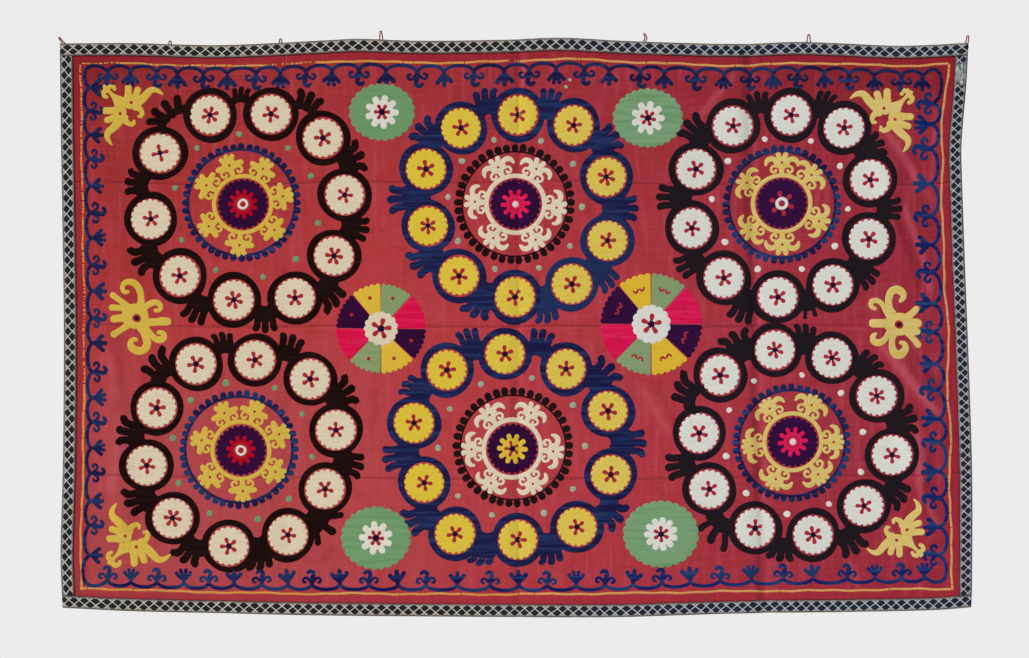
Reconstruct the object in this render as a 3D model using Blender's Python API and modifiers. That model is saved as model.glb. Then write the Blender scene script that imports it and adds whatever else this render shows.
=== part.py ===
"""A hanging of four red cloth strips, edged with woven tape and hung by seven small cord loops.

Metres, +Z up. The worked face looks toward -Y. The origin is the middle of the top edge,
on the middle surface of the cloth, where the hanging is held.
"""
import math

import bmesh
import bpy
from mathutils import Vector

MM = 0.001

# Cloth and tape
CLOTH_WIDTH = 2.274
CLOTH_DROP = 1.430
CLOTH_THICKNESS = 0.002
TAPE_WIDTH = 0.032
TAPE_THICKNESS = 0.0016
GAP = 0.0003

# Seams between the strips, as drops below the top edge
SEAM_DROPS = (0.355, 0.712, 1.090)
ROWS_PER_STRIP = (9, 9, 9, 8)

# Hanging cord
CORD_RADIUS = 0.0015
CORD_HIDDEN_LENGTH = 0.012
TURN_STEPS = 6

# The cloth's true edges in mm: place along the edge, then where the edge lies
TOP_EDGE = (
    (-1137, -9), (-960, -7.5), (-750, -12.5), (-600, -7.5), (-450, 0), (-390, 2.5),
    (-240, -2.5), (-30, 0), (120, 5), (270, -2.5), (420, -7.5), (560, -10),
    (720, -5), (960, -15), (1050, -12.5), (1137, -7.5),
)
BOTTOM_EDGE = (
    (-1137, -1419), (-960, -1427.5), (-735, -1432.5), (-525, -1437.5), (-30, -1442.5),
    (240, -1442.5), (405, -1437.5), (585, -1432.5), (825, -1430), (1050, -1425), (1137, -1418),
)
LEFT_EDGE = (
    (-1430, -1133), (-1300, -1137.5), (-1200, -1135), (-1040, -1131), (-725, -1130),
    (-500, -1132.5), (-180, -1137.5), (0, -1140),
)
RIGHT_EDGE = (
    (-1430, 1138), (-1380, 1140), (-1100, 1140), (-820, 1132.5), (-500, 1120), (-340, 1114),
    (-260, 1112.5), (-100, 1125), (0, 1130),
)

# Columns of the cloth grid: how far across the band ends in mm, then its number of columns
COLUMN_BANDS = (
    (-940, 5), (-45, 17), (60, 6), (520, 9), (670, 7), (900, 5),
)
LAST_COLUMNS = 7

# Folds in mm: one end x and z, other end x and z, half width, height toward the viewer
FOLDS = (
    (7.5, 60, 7.5, -1500, 32, -3.5),
    (570, 60, 617, -1500, 32, -3.2),
    (-572, 60, -572, -1500, 40, -1.5),
    (-1042, -255, -975, -620, 46, 5.0),
    (-1022, -735, -980, -1200, 44, 6.5),
    (800, -185, 1050, -275, 44, 4.5),
    (905, -290, 1035, -640, 46, 8.0),
    (990, -300, 1085, -560, 40, -4.0),
    (900, -735, 1070, -975, 48, 9.0),
    (970, -960, 1045, -1240, 42, 7.0),
    (640, -1190, 900, -1330, 50, 3.0),
)

# Slack left in the cloth in mm: wave across, wave down, phase in degrees, height
SLACK_WAVES = (
    (1340, 2900, 40, 3.0),
    (760, -1500, 205, 1.6),
    (2300, 820, 310, 2.0),
)

# Loops in mm: place along the edge, width at the edge, width at the tip, height, lean, bow
LOOPS = (
    (-1131, 9, 6.6, 17, -13, 0),
    (-866, 10, 8, 10, 0, 0),
    (-589, 9, 8, 12, 0, 0),
    (-337, 11, 6.6, 23, -1, 0),
    (321, 9, 7, 22, -2, 5),
    (732, 12, 8, 21, 1, 0),
    (1127, 9, 8, 20, 3, 0),
)


def read_curve(rows, at):
    """Read a smooth curve through the rows of a table, in the table's own units."""
    at = min(max(at, rows[0][0]), rows[-1][0])
    index = 0
    while index < len(rows) - 2 and at > rows[index + 1][0]:
        index += 1
    before = rows[max(index - 1, 0)]
    start = rows[index]
    end = rows[index + 1]
    after = rows[min(index + 2, len(rows) - 1)]
    span = end[0] - start[0]
    start_slope = (end[1] - before[1]) / (end[0] - before[0]) * span
    end_slope = (after[1] - start[1]) / (after[0] - start[0]) * span
    part = (at - start[0]) / span
    square = part * part
    cube = square * part
    return (
        start[1] * (2 * cube - 3 * square + 1)
        + start_slope * (cube - 2 * square + part)
        + end[1] * (3 * square - 2 * cube)
        + end_slope * (cube - square)
    )


def fold_height(fold, x, z):
    """Height in mm that one soft fold gives the cloth at a place in mm."""
    start_x, start_z, end_x, end_z, half_width, height = fold
    run = Vector((end_x - start_x, end_z - start_z))
    offset = Vector((x - start_x, z - start_z))
    along = min(max(offset.dot(run) / run.length_squared, 0), 1)
    distance = (offset - run * along).length
    if distance >= half_width:
        return 0
    return height * (0.5 + 0.5 * math.cos(math.pi * distance / half_width))


def relief(x, z):
    """Y of the cloth's middle surface at a place in metres, with folds standing toward -Y."""
    x_mm = x / MM
    z_mm = z / MM
    height = sum(fold_height(fold, x_mm, z_mm) for fold in FOLDS)
    for wave_x, wave_z, phase, size in SLACK_WAVES:
        turn = 2 * math.pi * (x_mm / wave_x + z_mm / wave_z) + math.radians(phase)
        height += size * math.cos(turn)
    return -height * MM


def on_cloth(across, drop):
    """X and Z of a place on the hung cloth, from its place on the flat rectangle."""
    across_share = across / CLOTH_WIDTH + 0.5
    drop_share = drop / CLOTH_DROP
    across_mm = across / MM
    drop_mm = -drop / MM
    left = read_curve(LEFT_EDGE, drop_mm)
    right = read_curve(RIGHT_EDGE, drop_mm)
    top = read_curve(TOP_EDGE, across_mm)
    bottom = read_curve(BOTTOM_EDGE, across_mm)
    x = left + (right - left) * across_share
    z = top + (bottom - top) * drop_share
    return x * MM, z * MM


def even_steps(start, end, count):
    """Places from start to end in equal steps, without the start."""
    return [start + (end - start) * step / count for step in range(1, count + 1)]


def cloth_columns():
    """Places across the flat cloth, closer together where the main folds run."""
    edge = CLOTH_WIDTH / 2
    inner_edge = edge - TAPE_WIDTH
    places = [-edge, -inner_edge]
    for band_end, count in COLUMN_BANDS:
        places += even_steps(places[-1], band_end * MM, count)
    places += even_steps(places[-1], inner_edge, LAST_COLUMNS)
    places.append(edge)
    return places


def strip_rows(index):
    """Drops of the grid rows of one strip, with a tape's width as the outermost row."""
    borders = (0, *SEAM_DROPS, CLOTH_DROP)
    top = borders[index]
    bottom = borders[index + 1]
    first = top + GAP / 2
    last = bottom - GAP / 2
    if index == 0:
        return [0, TAPE_WIDTH] + even_steps(TAPE_WIDTH, last, ROWS_PER_STRIP[index])
    if index == len(SEAM_DROPS):
        inner = bottom - TAPE_WIDTH
        return [first] + even_steps(first, inner, ROWS_PER_STRIP[index]) + [bottom]
    return [first] + even_steps(first, last, ROWS_PER_STRIP[index])


def side_tape_rows():
    """Drops of the side tapes' rows, which lie on the rows of the strips behind them."""
    rows = [TAPE_WIDTH + GAP]
    rows += strip_rows(0)[2:-1]
    for index, seam in enumerate(SEAM_DROPS, start=1):
        rows.append(seam)
        rows += strip_rows(index)[1:-1]
    rows[-1] = CLOTH_DROP - TAPE_WIDTH - GAP
    return rows


def make_material(name, colour, roughness):
    material = bpy.data.materials.new(name)
    material.use_nodes = True
    shader = material.node_tree.nodes["Principled BSDF"]
    shader.inputs["Base Color"].default_value = (*colour, 1)
    shader.inputs["Roughness"].default_value = roughness
    shader.inputs["Metallic"].default_value = 0
    return material


def make_sheet(name, columns, rows, lift, thickness, collection, material):
    """Sheet of cloth on the hanging's folds, its middle surface lifted toward the viewer."""
    mesh = bpy.data.meshes.new(name)
    sheet = bmesh.new()
    last_column = len(columns) - 1
    last_row = len(rows) - 1
    bmesh.ops.create_grid(sheet, x_segments=last_column, y_segments=last_row, size=0.5)
    for vertex in sheet.verts:
        column = round((vertex.co.x + 0.5) * last_column)
        row = round((0.5 - vertex.co.y) * last_row)
        x, z = on_cloth(columns[column], rows[row])
        vertex.co = (x, relief(x, z) - lift, z)
    bmesh.ops.triangulate(sheet, faces=sheet.faces, quad_method="FIXED")
    sheet.to_mesh(mesh)
    sheet.free()
    mesh.materials.append(material)
    piece = bpy.data.objects.new(name, mesh)
    collection.objects.link(piece)
    solidify = piece.modifiers.new("Cloth thickness", "SOLIDIFY")
    solidify.thickness = thickness
    solidify.offset = 0
    return piece


def loop_points(loop):
    """Centre line of one loop, up one leg, round the tip and down the other leg."""
    place, edge_width, tip_width, height, lean, bow = (value * MM for value in loop)
    top_z = read_curve(TOP_EDGE, place / MM) * MM
    edge_half = edge_width / 2 - CORD_RADIUS
    tip_half = tip_width / 2 - CORD_RADIUS
    turn_centre = height - CORD_RADIUS - tip_half
    leg = [(-edge_half, -CORD_HIDDEN_LENGTH), (-edge_half, 0)]
    leg.append((-(edge_half + tip_half) / 2, turn_centre / 2))
    outline = list(leg)
    for step in range(TURN_STEPS + 1):
        angle = math.pi * (1 - step / TURN_STEPS)
        outline.append((tip_half * math.cos(angle), turn_centre + tip_half * math.sin(angle)))
    outline += [(-across, up) for across, up in reversed(leg)]
    points = []
    for across, up in outline:
        share = max(up, 0) / height
        x = place + across + lean * share + bow * math.sin(math.pi * share)
        z = top_z + up
        y = relief(x, min(z, top_z)) + CLOTH_THICKNESS / 2 + GAP + CORD_RADIUS
        points.append((x, y, z))
    return points


def make_loop(name, points, collection, material):
    curve = bpy.data.curves.new(name, "CURVE")
    curve.dimensions = "3D"
    curve.bevel_depth = CORD_RADIUS
    curve.bevel_resolution = 2
    curve.use_fill_caps = True
    spline = curve.splines.new("POLY")
    spline.points.add(len(points) - 1)
    for point, place in zip(spline.points, points):
        point.co = (*place, 1)
    curve.materials.append(material)
    piece = bpy.data.objects.new(name, curve)
    collection.objects.link(piece)
    return piece


def build():
    for old in list(bpy.data.objects):
        bpy.data.objects.remove(old, do_unlink=True)
    collection = bpy.data.collections.new("hanging")
    bpy.context.scene.collection.children.link(collection)

    red_cotton = make_material("red_cotton", (0.41, 0.038, 0.055), 0.9)
    woven_tape = make_material("woven_tape", (0.16, 0.155, 0.15), 0.85)
    red_cord = make_material("red_cord", (0.55, 0.09, 0.08), 0.8)

    columns = cloth_columns()
    for index in range(len(SEAM_DROPS) + 1):
        name = "panel_%d" % (index + 1)
        make_sheet(name, columns, strip_rows(index), 0, CLOTH_THICKNESS, collection, red_cotton)

    lift = CLOTH_THICKNESS / 2 + GAP + TAPE_THICKNESS / 2
    side_rows = side_tape_rows()
    tapes = (
        ("tape_top", columns, strip_rows(0)[:2]),
        ("tape_bottom", columns, strip_rows(len(SEAM_DROPS))[-2:]),
        ("tape_left", columns[:2], side_rows),
        ("tape_right", columns[-2:], side_rows),
    )
    for name, tape_columns, tape_rows in tapes:
        make_sheet(name, tape_columns, tape_rows, lift, TAPE_THICKNESS, collection, woven_tape)

    for number, loop in enumerate(LOOPS, start=1):
        make_loop("loop_%d" % number, loop_points(loop), collection, red_cord)


build()
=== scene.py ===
"""The finished look of the embroidered hanging: its cloth, tape, cords, thread work and light.

Metres, +Z up, in the frame of the CAD model. The worked face looks toward -Y.
Values in the tables are millimetres unless a note says otherwise.
"""

import math
import random

import bmesh
import bpy
import numpy as np
from mathutils import Matrix, Vector


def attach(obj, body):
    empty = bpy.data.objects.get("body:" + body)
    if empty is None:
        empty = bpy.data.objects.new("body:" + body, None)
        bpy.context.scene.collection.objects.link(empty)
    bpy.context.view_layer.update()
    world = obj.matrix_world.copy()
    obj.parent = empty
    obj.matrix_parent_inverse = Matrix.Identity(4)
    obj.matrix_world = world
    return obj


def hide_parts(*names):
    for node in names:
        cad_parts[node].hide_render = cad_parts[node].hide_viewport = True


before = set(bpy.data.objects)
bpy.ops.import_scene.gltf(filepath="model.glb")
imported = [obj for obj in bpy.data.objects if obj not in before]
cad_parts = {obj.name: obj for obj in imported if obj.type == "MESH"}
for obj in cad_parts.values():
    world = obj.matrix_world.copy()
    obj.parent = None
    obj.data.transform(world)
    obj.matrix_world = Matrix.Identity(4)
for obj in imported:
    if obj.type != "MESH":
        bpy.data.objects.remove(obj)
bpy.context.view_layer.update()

MM = 0.001
chance = random.Random(11)

# Cloth, tape and cord: the values of the part's own source, in metres

CLOTH_WIDTH = 2.274
CLOTH_DROP = 1.430
CLOTH_THICKNESS = 0.002
TAPE_WIDTH = 0.032
TAPE_THICKNESS = 0.0016
GAP = 0.0003
SEAM_DROPS = (0.355, 0.712, 1.090)
CORD_RADIUS = 0.0015
CORD_HIDDEN_LENGTH = 0.012

# The cloth's true edges: place along the edge, then where the edge lies
TOP_EDGE = (
    (-1137, -9), (-960, -7.5), (-750, -12.5), (-600, -7.5), (-450, 0), (-390, 2.5),
    (-240, -2.5), (-30, 0), (120, 5), (270, -2.5), (420, -7.5), (560, -10),
    (720, -5), (960, -15), (1050, -12.5), (1137, -7.5),
)
BOTTOM_EDGE = (
    (-1137, -1419), (-960, -1427.5), (-735, -1432.5), (-525, -1437.5), (-30, -1442.5),
    (240, -1442.5), (405, -1437.5), (585, -1432.5), (825, -1430), (1050, -1425), (1137, -1418),
)
LEFT_EDGE = (
    (-1430, -1133), (-1300, -1137.5), (-1200, -1135), (-1040, -1131), (-725, -1130),
    (-500, -1132.5), (-180, -1137.5), (0, -1140),
)
RIGHT_EDGE = (
    (-1430, 1138), (-1380, 1140), (-1100, 1140), (-820, 1132.5), (-500, 1120), (-340, 1114),
    (-260, 1112.5), (-100, 1125), (0, 1130),
)

# Folds: one end x and z, other end x and z, half width, height toward the viewer
FOLDS = (
    (7.5, 60, 7.5, -1500, 32, -3.5),
    (570, 60, 617, -1500, 32, -3.2),
    (-572, 60, -572, -1500, 40, -1.5),
    (-1042, -255, -975, -620, 46, 5.0),
    (-1022, -735, -980, -1200, 44, 6.5),
    (800, -185, 1050, -275, 44, 4.5),
    (905, -290, 1035, -640, 46, 8.0),
    (990, -300, 1085, -560, 40, -4.0),
    (900, -735, 1070, -975, 48, 9.0),
    (970, -960, 1045, -1240, 42, 7.0),
    (640, -1190, 900, -1330, 50, 3.0),
)

# Slack left in the cloth: wave across, wave down, phase in degrees, height
SLACK_WAVES = (
    (1340, 2900, 40, 3.0),
    (760, -1500, 205, 1.6),
    (2300, 820, 310, 2.0),
)

# Sharp middles of the pressed folds, on top of the broad folds: ends, half width, height
CREASES = (
    (7.5, 60, 7.5, -1500, 7.5, -1.7),
    (884, -720, 968, -842, 17, 2.4),
    (968, -842, 1068, -1010, 15, 2.0),
    (905, -255, 1020, -330, 14, 2.0),
    (-572, 60, -572, -1500, 12, -0.4),
)

# Pressed folds that step back toward the right: ends, half width of the step, reach, height
STEPS = (
    (570, 60, 617, -1500, 12, 110, 3.2),
)

# Painted highlight and shade of the folds, with some fading along them: paler lines on the sides facing the
# light, deeper red lines on the sides turned away: one end x and z, other end x and z, half width, and
# strength, from -1, deep, to 1, pale
FOLD_SHADE_LINES = (
    (915, -215, 1042, -412, 17, 0.8), (968, -400, 1044, -644, 16, 0.9),
    (975, -230, 1050, -475, 15, -0.6), (938, -398, 1014, -642, 17, -0.8),
    (900, -750, 1068, -948, 19, 1.0), (845, -770, 1022, -960, 20, -0.7),
    (965, -752, 1078, -898, 15, -0.6), (996, -938, 1011, -1124, 18, 1.0),
    (1004, -1100, 1056, -1222, 16, 0.7), (1042, -962, 1021, -1200, 14, -0.7),
    (-1028, -762, -985, -912, 20, 0.6), (-985, -912, -1010, -1150, 20, 0.6),
    (564, -12, 611, -1425, 13, -0.55), (588, -12, 635, -1425, 12, 0.4),
    (573, -12, 588, -162, 13, -0.6), (448, -212, 555, -70, 16, 0.6),
    (-6, -12, -6, -140, 11, -0.9), (-3, -140, -3, -1425, 9, -0.3),
    (16, -12, 16, -140, 9, 0.8), (14, -140, 14, -1425, 9, 0.3),
    (822, -1288, 865, -1375, 11, 0.8), (800, -1300, 835, -1375, 10, -0.5),
    (310, -850, 390, -1000, 18, 0.5), (348, -850, 422, -1000, 16, -0.3),
)

# Small puckers beside the edges, where stitching drew the cloth in:
# edge height z, reach from it, pucker length, height
PUCKERS = (
    (-1385, 55, 112, 0.9),
    (-62, 45, 138, 0.5),
)
# The puckers stand unevenly: how far they shift, in radians, and over what length
PUCKER_SHIFT = 1.3
PUCKER_SHIFT_LENGTH = 171

# Loops: place along the edge, width at the edge, width at the tip, height, lean, bow
LOOPS = (
    (-1131, 9, 6.6, 17, -13, 0),
    (-866, 10, 8, 10, 0, 0),
    (-589, 9, 8, 12, 0, 0),
    (-337, 11, 6.6, 23, -1, 0),
    (321, 9, 7, 22, -2, 5),
    (732, 12, 8, 21, 1, 0),
    (1127, 9, 8, 20, 3, 0),
)

# Where the thread work lies

# Height of the thread above the cloth's middle surface, and how far an edge sinks into the cloth
CLOTH_FACE = 1.0
EDGE_SUNK = 0.3
RISE = 0.75

# Edge of a stitched band: distance in from the edge, share of its height
BAND_EDGE = ((0, 0), (0.8, 0.84), (2.6, 1))
# Widest cell across a band, so that it follows the folds
BAND_CELL = 10
# Part of each edge of a band that is sunk in the cloth
SUNK_WIDTH = 0.3
RIM_WIDTH = 0.8
SHOULDER_WIDTH = 2.4

# Six medallions: centre, colours, sprays and centre flower, then, from the centre,
# the ten roundels of the wreath and the ten dots inside it. A hand joins each roundel to the
# next: its reach outward, half its spread, its lean clockwise and where its palm starts
MEDALLIONS = (
    dict(
        name="A", x=-685, z=-407.5, outer=(-1.5, 1), middle=(2.5, -3), wreath="black", disc="cream",
        teeth="navy", ring="yellow",
        spray="lobed", flower="red", ring_outer=68.7,
        roundels=((-205, 125), (-80, 220), (72.5, 222.5), (202.5, 162.5), (257, 20),
                  (230, -132.5), (132.5, -237.5), (-20, -242.5), (-155, -182.5), (-227.5, -40)),
        hands=((109, 45, -5, 47), (69, 17, 3, 25), (93, 27, 0, 38), (82, 33, -3, 7), (75, 23, -1, 0),
               (93, 28, 12, 9), (84, 23, 1, 12), (95, 24, 3, 16), (93, 30, 2, 14), (77, 25, 2, 13)),
        dots=((-7.5, 172.5), (-112.5, 137.5), (115, 137.5), (-167.5, 37.5), (-150, -92.5),
              (-65, -167.5), (52.5, -185), (135, -140), (190, -50), (172.5, 67.5)),
        sprays=((-32.5, 95), (50, 87.5), (102.5, 20), (82.5, -67.5), (-7.5, -100),
                (-87.5, -55), (-97.5, 50)),
        dot="green",
    ),
    dict(
        name="B", x=0, z=-407.5, outer=(-3, -3), middle=(-1, -3), wreath="blue", disc="gold",
        teeth="black", ring="cream",
        spray="two-lobed leafy", flower="pink", ring_outer=67.8,
        roundels=((-137.5, 187.5), (5, 220), (144, 194), (226, 65), (229, -94),
                  (139.5, -203), (-2.5, -235), (-142.5, -182.5), (-220, -57.5), (-225, 85)),
        hands=((83, 23, 5, 13), (80, 20, 1, -4), (84, 27, 1, 0), (78, 24, 0, -17), (85, 22, 8, -17),
               (82, 22, 7, -17), (85, 29, 7, -16), (92, 28, 8, -5), (99, 27, -2, -15), (91, 29, 1, 2)),
        dots=((-55, 157.5), (62.5, 155), (142.5, 97.5), (165, -10), (135, -107.5),
              (57.5, -162.5), (-52.5, -165), (-145, -95), (-170, 15), (-135, 105)),
        sprays=((-42.5, 92.5), (50, 82.5), (102.5, -10), (50, -90), (-57.5, -90), (-105, 5)),
        dot="sage",
    ),
    dict(
        name="C", x=665, z=-407.5, outer=(0, -3), middle=(0, -1), wreath="black", disc="white",
        teeth="navy", ring="yellow",
        spray="two-lobed leafy", flower="petals", ring_outer=68.5,
        roundels=((-122.5, 192.5), (22.5, 220), (155, 187.5), (220, 58), (217.5, -90),
                  (127.5, -205), (-10, -235), (-145, -187.5), (-225, -62.5), (-215, 85)),
        hands=((74, 21, 0, 13), (80, 18, 9, 3), (73, 24, 3, -12), (80, 21, -3, 13), (80, 22, 5, -15),
               (67, 13, 2, -11), (93, 24, 3, 0), (89, 22, 5, 8), (94, 24, -2, 0), (100, 29, 1, 11)),
        dots=((-42.5, 160), (72.5, 155), (145, 92.5), (165, -15), (132.5, -107.5),
              (50, -165), (-60, -165), (-142.5, -97.5), (-175, 10), (-135, 105)),
        sprays=((0, 100), (72.5, 70), (87.5, -42.5), (2.5, -105), (-77.5, -67.5), (-90, 52.5)),
        dot="white",
    ),
    dict(
        name="D", x=-690, z=-1027.5, outer=(-3, 4), middle=(2.5, 1.5), wreath="black", disc="cream",
        teeth="navy", ring="yellow",
        spray="lobed", flower="red", ring_outer=67.8,
        roundels=((-110, 217.5), (37.5, 227.5), (175, 180), (239.5, 52), (212.5, -95),
                  (120, -210), (-27.5, -237.5), (-167.5, -167.5), (-232, -36), (-207.5, 107.5)),
        hands=((75, 20, -5, 17), (91, 24, -2, 17), (90, 31, -4, 3), (85, 24, 4, 2), (89, 44, -3, -2),
               (74, 25, 9, -13), (89, 30, 8, 14), (91, 28, 10, 6), (89, 29, 4, 13), (100, 33, 12, 24)),
        dots=((-35, 170), (87.5, 157.5), (155, 92.5), (180, -15), (122.5, -120),
              (45, -170), (-75, -155), (-152.5, -80), (-167.5, 32.5), (-122.5, 127.5)),
        sprays=((-42.5, 97.5), (35, 105), (100, 42.5), (87.5, -55), (5, -102.5),
                (-75, -65), (-95, 25)),
        dot="green",
    ),
    dict(
        name="E", x=-10, z=-1025, outer=(3, 6.5), middle=(1, 3), wreath="blue", disc="gold",
        teeth="black", ring="cream",
        spray="two-lobed leafy", flower="gold", ring_outer=67.8, fading_and_fold_shade=0.5,
        roundels=((-162.5, 200), (-17.5, 240), (135, 202.5), (240, 97.5), (247, -61.5),
                  (162.5, -192.5), (15, -225), (-142.5, -210), (-219.5, -82), (-245, 67.5)),
        hands=((87, 21, -3, 0), (83, 23, 1, 10), (92, 32, 2, 0), (92, 26, 5, -2), (88, 31, 3, 10),
               (78, 23, 6, -6), (73, 23, 12, -15), (96, 28, 8, 0), (93, 24, -2, -5), (78, 21, -8, -5)),
        dots=((-77.5, 165), (50, 180), (152.5, 112.5), (182.5, 10), (152.5, -97.5),
              (80, -157.5), (-50, -162.5), (-135, -115), (-185, 5), (-155, 102.5)),
        sprays=((-57.5, 87.5), (50, 95), (102.5, -5), (50, -85), (-52.5, -82.5), (-102.5, -2.5)),
        dot="sage",
    ),
    dict(
        name="F", x=690, z=-1002.5, outer=(-1, -5), middle=(2, -2), wreath="black", disc="white",
        teeth="navy", ring="yellow",
        spray="three-lobed leafy", flower="pink", ring_outer=67.8,
        roundels=((-180, 165), (-42.5, 227.5), (100, 207.5), (212.5, 112.5), (250, -35),
                  (180, -162.5), (52.5, -235), (-92.5, -217.5), (-207, -120), (-232.5, 20)),
        hands=((87, 33, -6, 0), (75, 21, -5, -7), (77, 23, 7, -2), (84, 29, 1, 0), (87, 26, 10, 14),
               (96, 28, -1, 19), (76, 26, 3, 11), (103, 38, -10, 22), (98, 25, 0, 18), (100, 31, 18, 31)),
        dots=((25, 165), (122.5, 120), (177.5, 22.5), (172.5, -77.5), (92.5, -157.5),
              (-12.5, -182.5), (-115, -130), (-165, -37.5), (-157.5, 77.5), (-95, 150)),
        sprays=((-55, 80), (45, 90), (100, 0), (62.5, -82.5), (-45, -95), (-97.5, -10)),
        dot="white",
    ),
)

# Green rosettes: centre, half width, half height, scallops, petals of the white flower
ROSETTES = (
    (-335, -180, 84, 73, 24, 9),
    (330, -195, 89, 75, 26, 9),
    (-350, -1245, 89, 80, 25, 9),
    (362.5, -1235, 96, 85, 26, 11),
)

# Pinwheels: centre, radius, radius of the pale middle
PINWHEELS = (
    (-337.5, -721.5, 113, 44),
    (338, -710.5, 128, 50),
)
# Sectors clockwise from the top, in degrees
PINWHEEL_SECTORS = (
    (0, 43, "moss"), (43, 90, "pink"), (90, 133, "purple"), (133, 180, "amber"),
    (180, 225, "moss"), (225, 270, "pink"), (270, 320, "purple"), (320, 360, "amber"),
)

# The vine's nodes along each side; in turn a curl and a tulip, the first kind named
TOP_NODES = (
    -1020, -965, -900, -847.5, -782.5, -722.5, -650, -590, -525, -460, -392.5, -325, -247.5,
    -180, -105, -30, 32.5, 100, 170, 232.5, 310, 370, 450, 520, 585, 642.5, 705, 770, 832.5,
    895, 962.5, 1015,
)
LEFT_NODES = (
    -120, -177.5, -237.5, -297.5, -365, -432.5, -495, -562.5, -627.5, -695, -757.5, -830,
    -895, -955, -1020, -1082.5, -1152.5, -1212.5, -1287.5,
)
RIGHT_NODES = (
    -160, -211, -272.5, -360, -440, -512.5, -580, -660, -730, -810, -875, -947.5, -1005,
    -1077.5, -1145, -1217.5, -1287.5,
)
BOTTOM_NODES = (
    -1020, -962.5, -897.5, -830, -767.5, -705, -635, -570, -510, -440, -367.5, -295, -225,
    -147.5, -65, 7.5, 77.5, 150, 222.5, 292.5, 365, 435, 510, 587.5, 667.5, 742.5, 827.5,
    897.5, 965, 1020,
)
# Distance of the vine's nodes and of its outer bulges from the cloth's edge: place, distance
TOP_VINE = ((-1137, 71), (-700, 73), (-450, 77), (0, 77), (1137, 78))
LEFT_VINE = ((-1430, 71), (0, 71))
RIGHT_VINE = ((-1430, 84), (-700, 84), (-300, 80), (0, 78))
BOTTOM_VINE = ((-1137, 75), (-800, 74), (-400, 78), (0, 79), (400, 83), (800, 85), (1137, 84))
VINE_BULGE = {"top": 15, "left": 12, "right": 21, "bottom": 12.5}
VINE_WIDTH = 9
# Least and greatest size of the curls and tulips on each side
VINE_SIZES = {"top": (0.9, 1.0), "left": (0.84, 0.96), "right": (0.94, 1.08), "bottom": (0.84, 0.96)}

# Yellow line beside the tape: place along the edge, distance from the edge
TOP_LINE = ((-1137, 50), (-600, 53), (-337, 55), (300, 52), (520, 54), (1137, 48))
LEFT_LINE = ((-1430, 50), (0, 51))
RIGHT_LINE = (
    (-1367, 49), (-1242, 53), (-1117, 56), (-992, 52), (-867, 54), (-695, 47), (-632, 52),
    (-467, 51), (-382, 52), (-300, 47), (-217, 52), (-62, 46),
)
BOTTOM_LINE = (
    (-1090, 51), (-965, 54), (-840, 52), (-590, 53), (-340, 56), (-90, 56), (235, 59),
    (485, 56), (735, 54), (985, 54), (1085, 50),
)
STITCH_STEP = 2.1
STITCH_LENGTH = 6.6
# Worn stretches of the line: side, from, to, share of stitches left, length share of the rest
WEAR = (
    ("top", -1100, -1000, 0.62, 0.7), ("top", -1000, -850, 0.93, 0.75),
    ("top", -850, -775, 0.6, 0.9), ("top", -775, -620, 0.9, 0.9),
    ("top", -620, -500, 0.34, 0.8), ("top", -20, 2, 0.1, 1),
    ("left", -860, -560, 0.6, 0.85), ("left", -560, -60, 0.8, 0.75),
)


def read_curve(rows, at):
    """Read a smooth curve through the rows of a table, at one place or at many."""
    places = np.array([row[0] for row in rows], dtype=float)
    values = np.array([row[1] for row in rows], dtype=float)
    at = np.clip(at, places[0], places[-1])
    start = np.clip(np.searchsorted(places, at, side="left") - 1, 0, len(rows) - 2)
    end = start + 1
    before = np.maximum(start - 1, 0)
    after = np.minimum(end + 1, len(rows) - 1)
    span = places[end] - places[start]
    start_slope = (values[end] - values[before]) / (places[end] - places[before]) * span
    end_slope = (values[after] - values[start]) / (places[after] - places[start]) * span
    part = (at - places[start]) / span
    square = part * part
    cube = square * part
    return (
        values[start] * (2 * cube - 3 * square + 1)
        + start_slope * (cube - 2 * square + part)
        + values[end] * (3 * square - 2 * cube)
        + end_slope * (cube - square)
    )


def ridges(rows, x_mm, z_mm, taper=0.0):
    """Sum of soft ridges along straight lines: ends, half width and peak of each.

    With a taper, each ridge dies away over that length at both ends.
    """
    height = np.zeros_like(x_mm)
    for start_x, start_z, end_x, end_z, half_width, peak in rows:
        run_x = end_x - start_x
        run_z = end_z - start_z
        along = ((x_mm - start_x) * run_x + (z_mm - start_z) * run_z) / (run_x ** 2 + run_z ** 2)
        along = np.clip(along, 0, 1)
        distance = np.hypot(x_mm - start_x - run_x * along, z_mm - start_z - run_z * along)
        bump = peak * (0.5 + 0.5 * np.cos(np.pi * distance / half_width))
        if taper:
            to_end = np.minimum(along, 1 - along) * math.hypot(run_x, run_z)
            bump *= np.sin(np.pi / 2 * np.clip(to_end / taper, 0, 1))
        height += np.where(distance < half_width, bump, 0)
    return height


def relief(x, z):
    """Y of the cloth's middle surface at places in metres, with folds standing toward -Y."""
    x_mm = np.asarray(x) / MM
    z_mm = np.asarray(z) / MM
    height = ridges(FOLDS + CREASES, x_mm, z_mm)
    for start_x, start_z, end_x, end_z, half_width, reach, peak in STEPS:
        run_x = end_x - start_x
        run_z = end_z - start_z
        across = ((z_mm - start_z) * run_x - (x_mm - start_x) * run_z) / math.hypot(run_x, run_z)
        away = np.clip((np.abs(across) - half_width) / (reach - half_width), 0, 1)
        side = np.sin(np.pi / 2 * np.clip(across / half_width, -1, 1))
        height -= peak * side * (1 - away ** 2 * (3 - 2 * away))
    for wave_x, wave_z, phase, size in SLACK_WAVES:
        turn = 2 * np.pi * (x_mm / wave_x + z_mm / wave_z) + math.radians(phase)
        height += size * np.cos(turn)
    for edge_z, reach, length, size in PUCKERS:
        fade = np.exp(-((z_mm - edge_z) / reach) ** 2)
        turn = 2 * np.pi * x_mm / length + PUCKER_SHIFT * np.sin(x_mm / PUCKER_SHIFT_LENGTH)
        height += size * fade * np.cos(turn)
    return -height * MM


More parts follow.
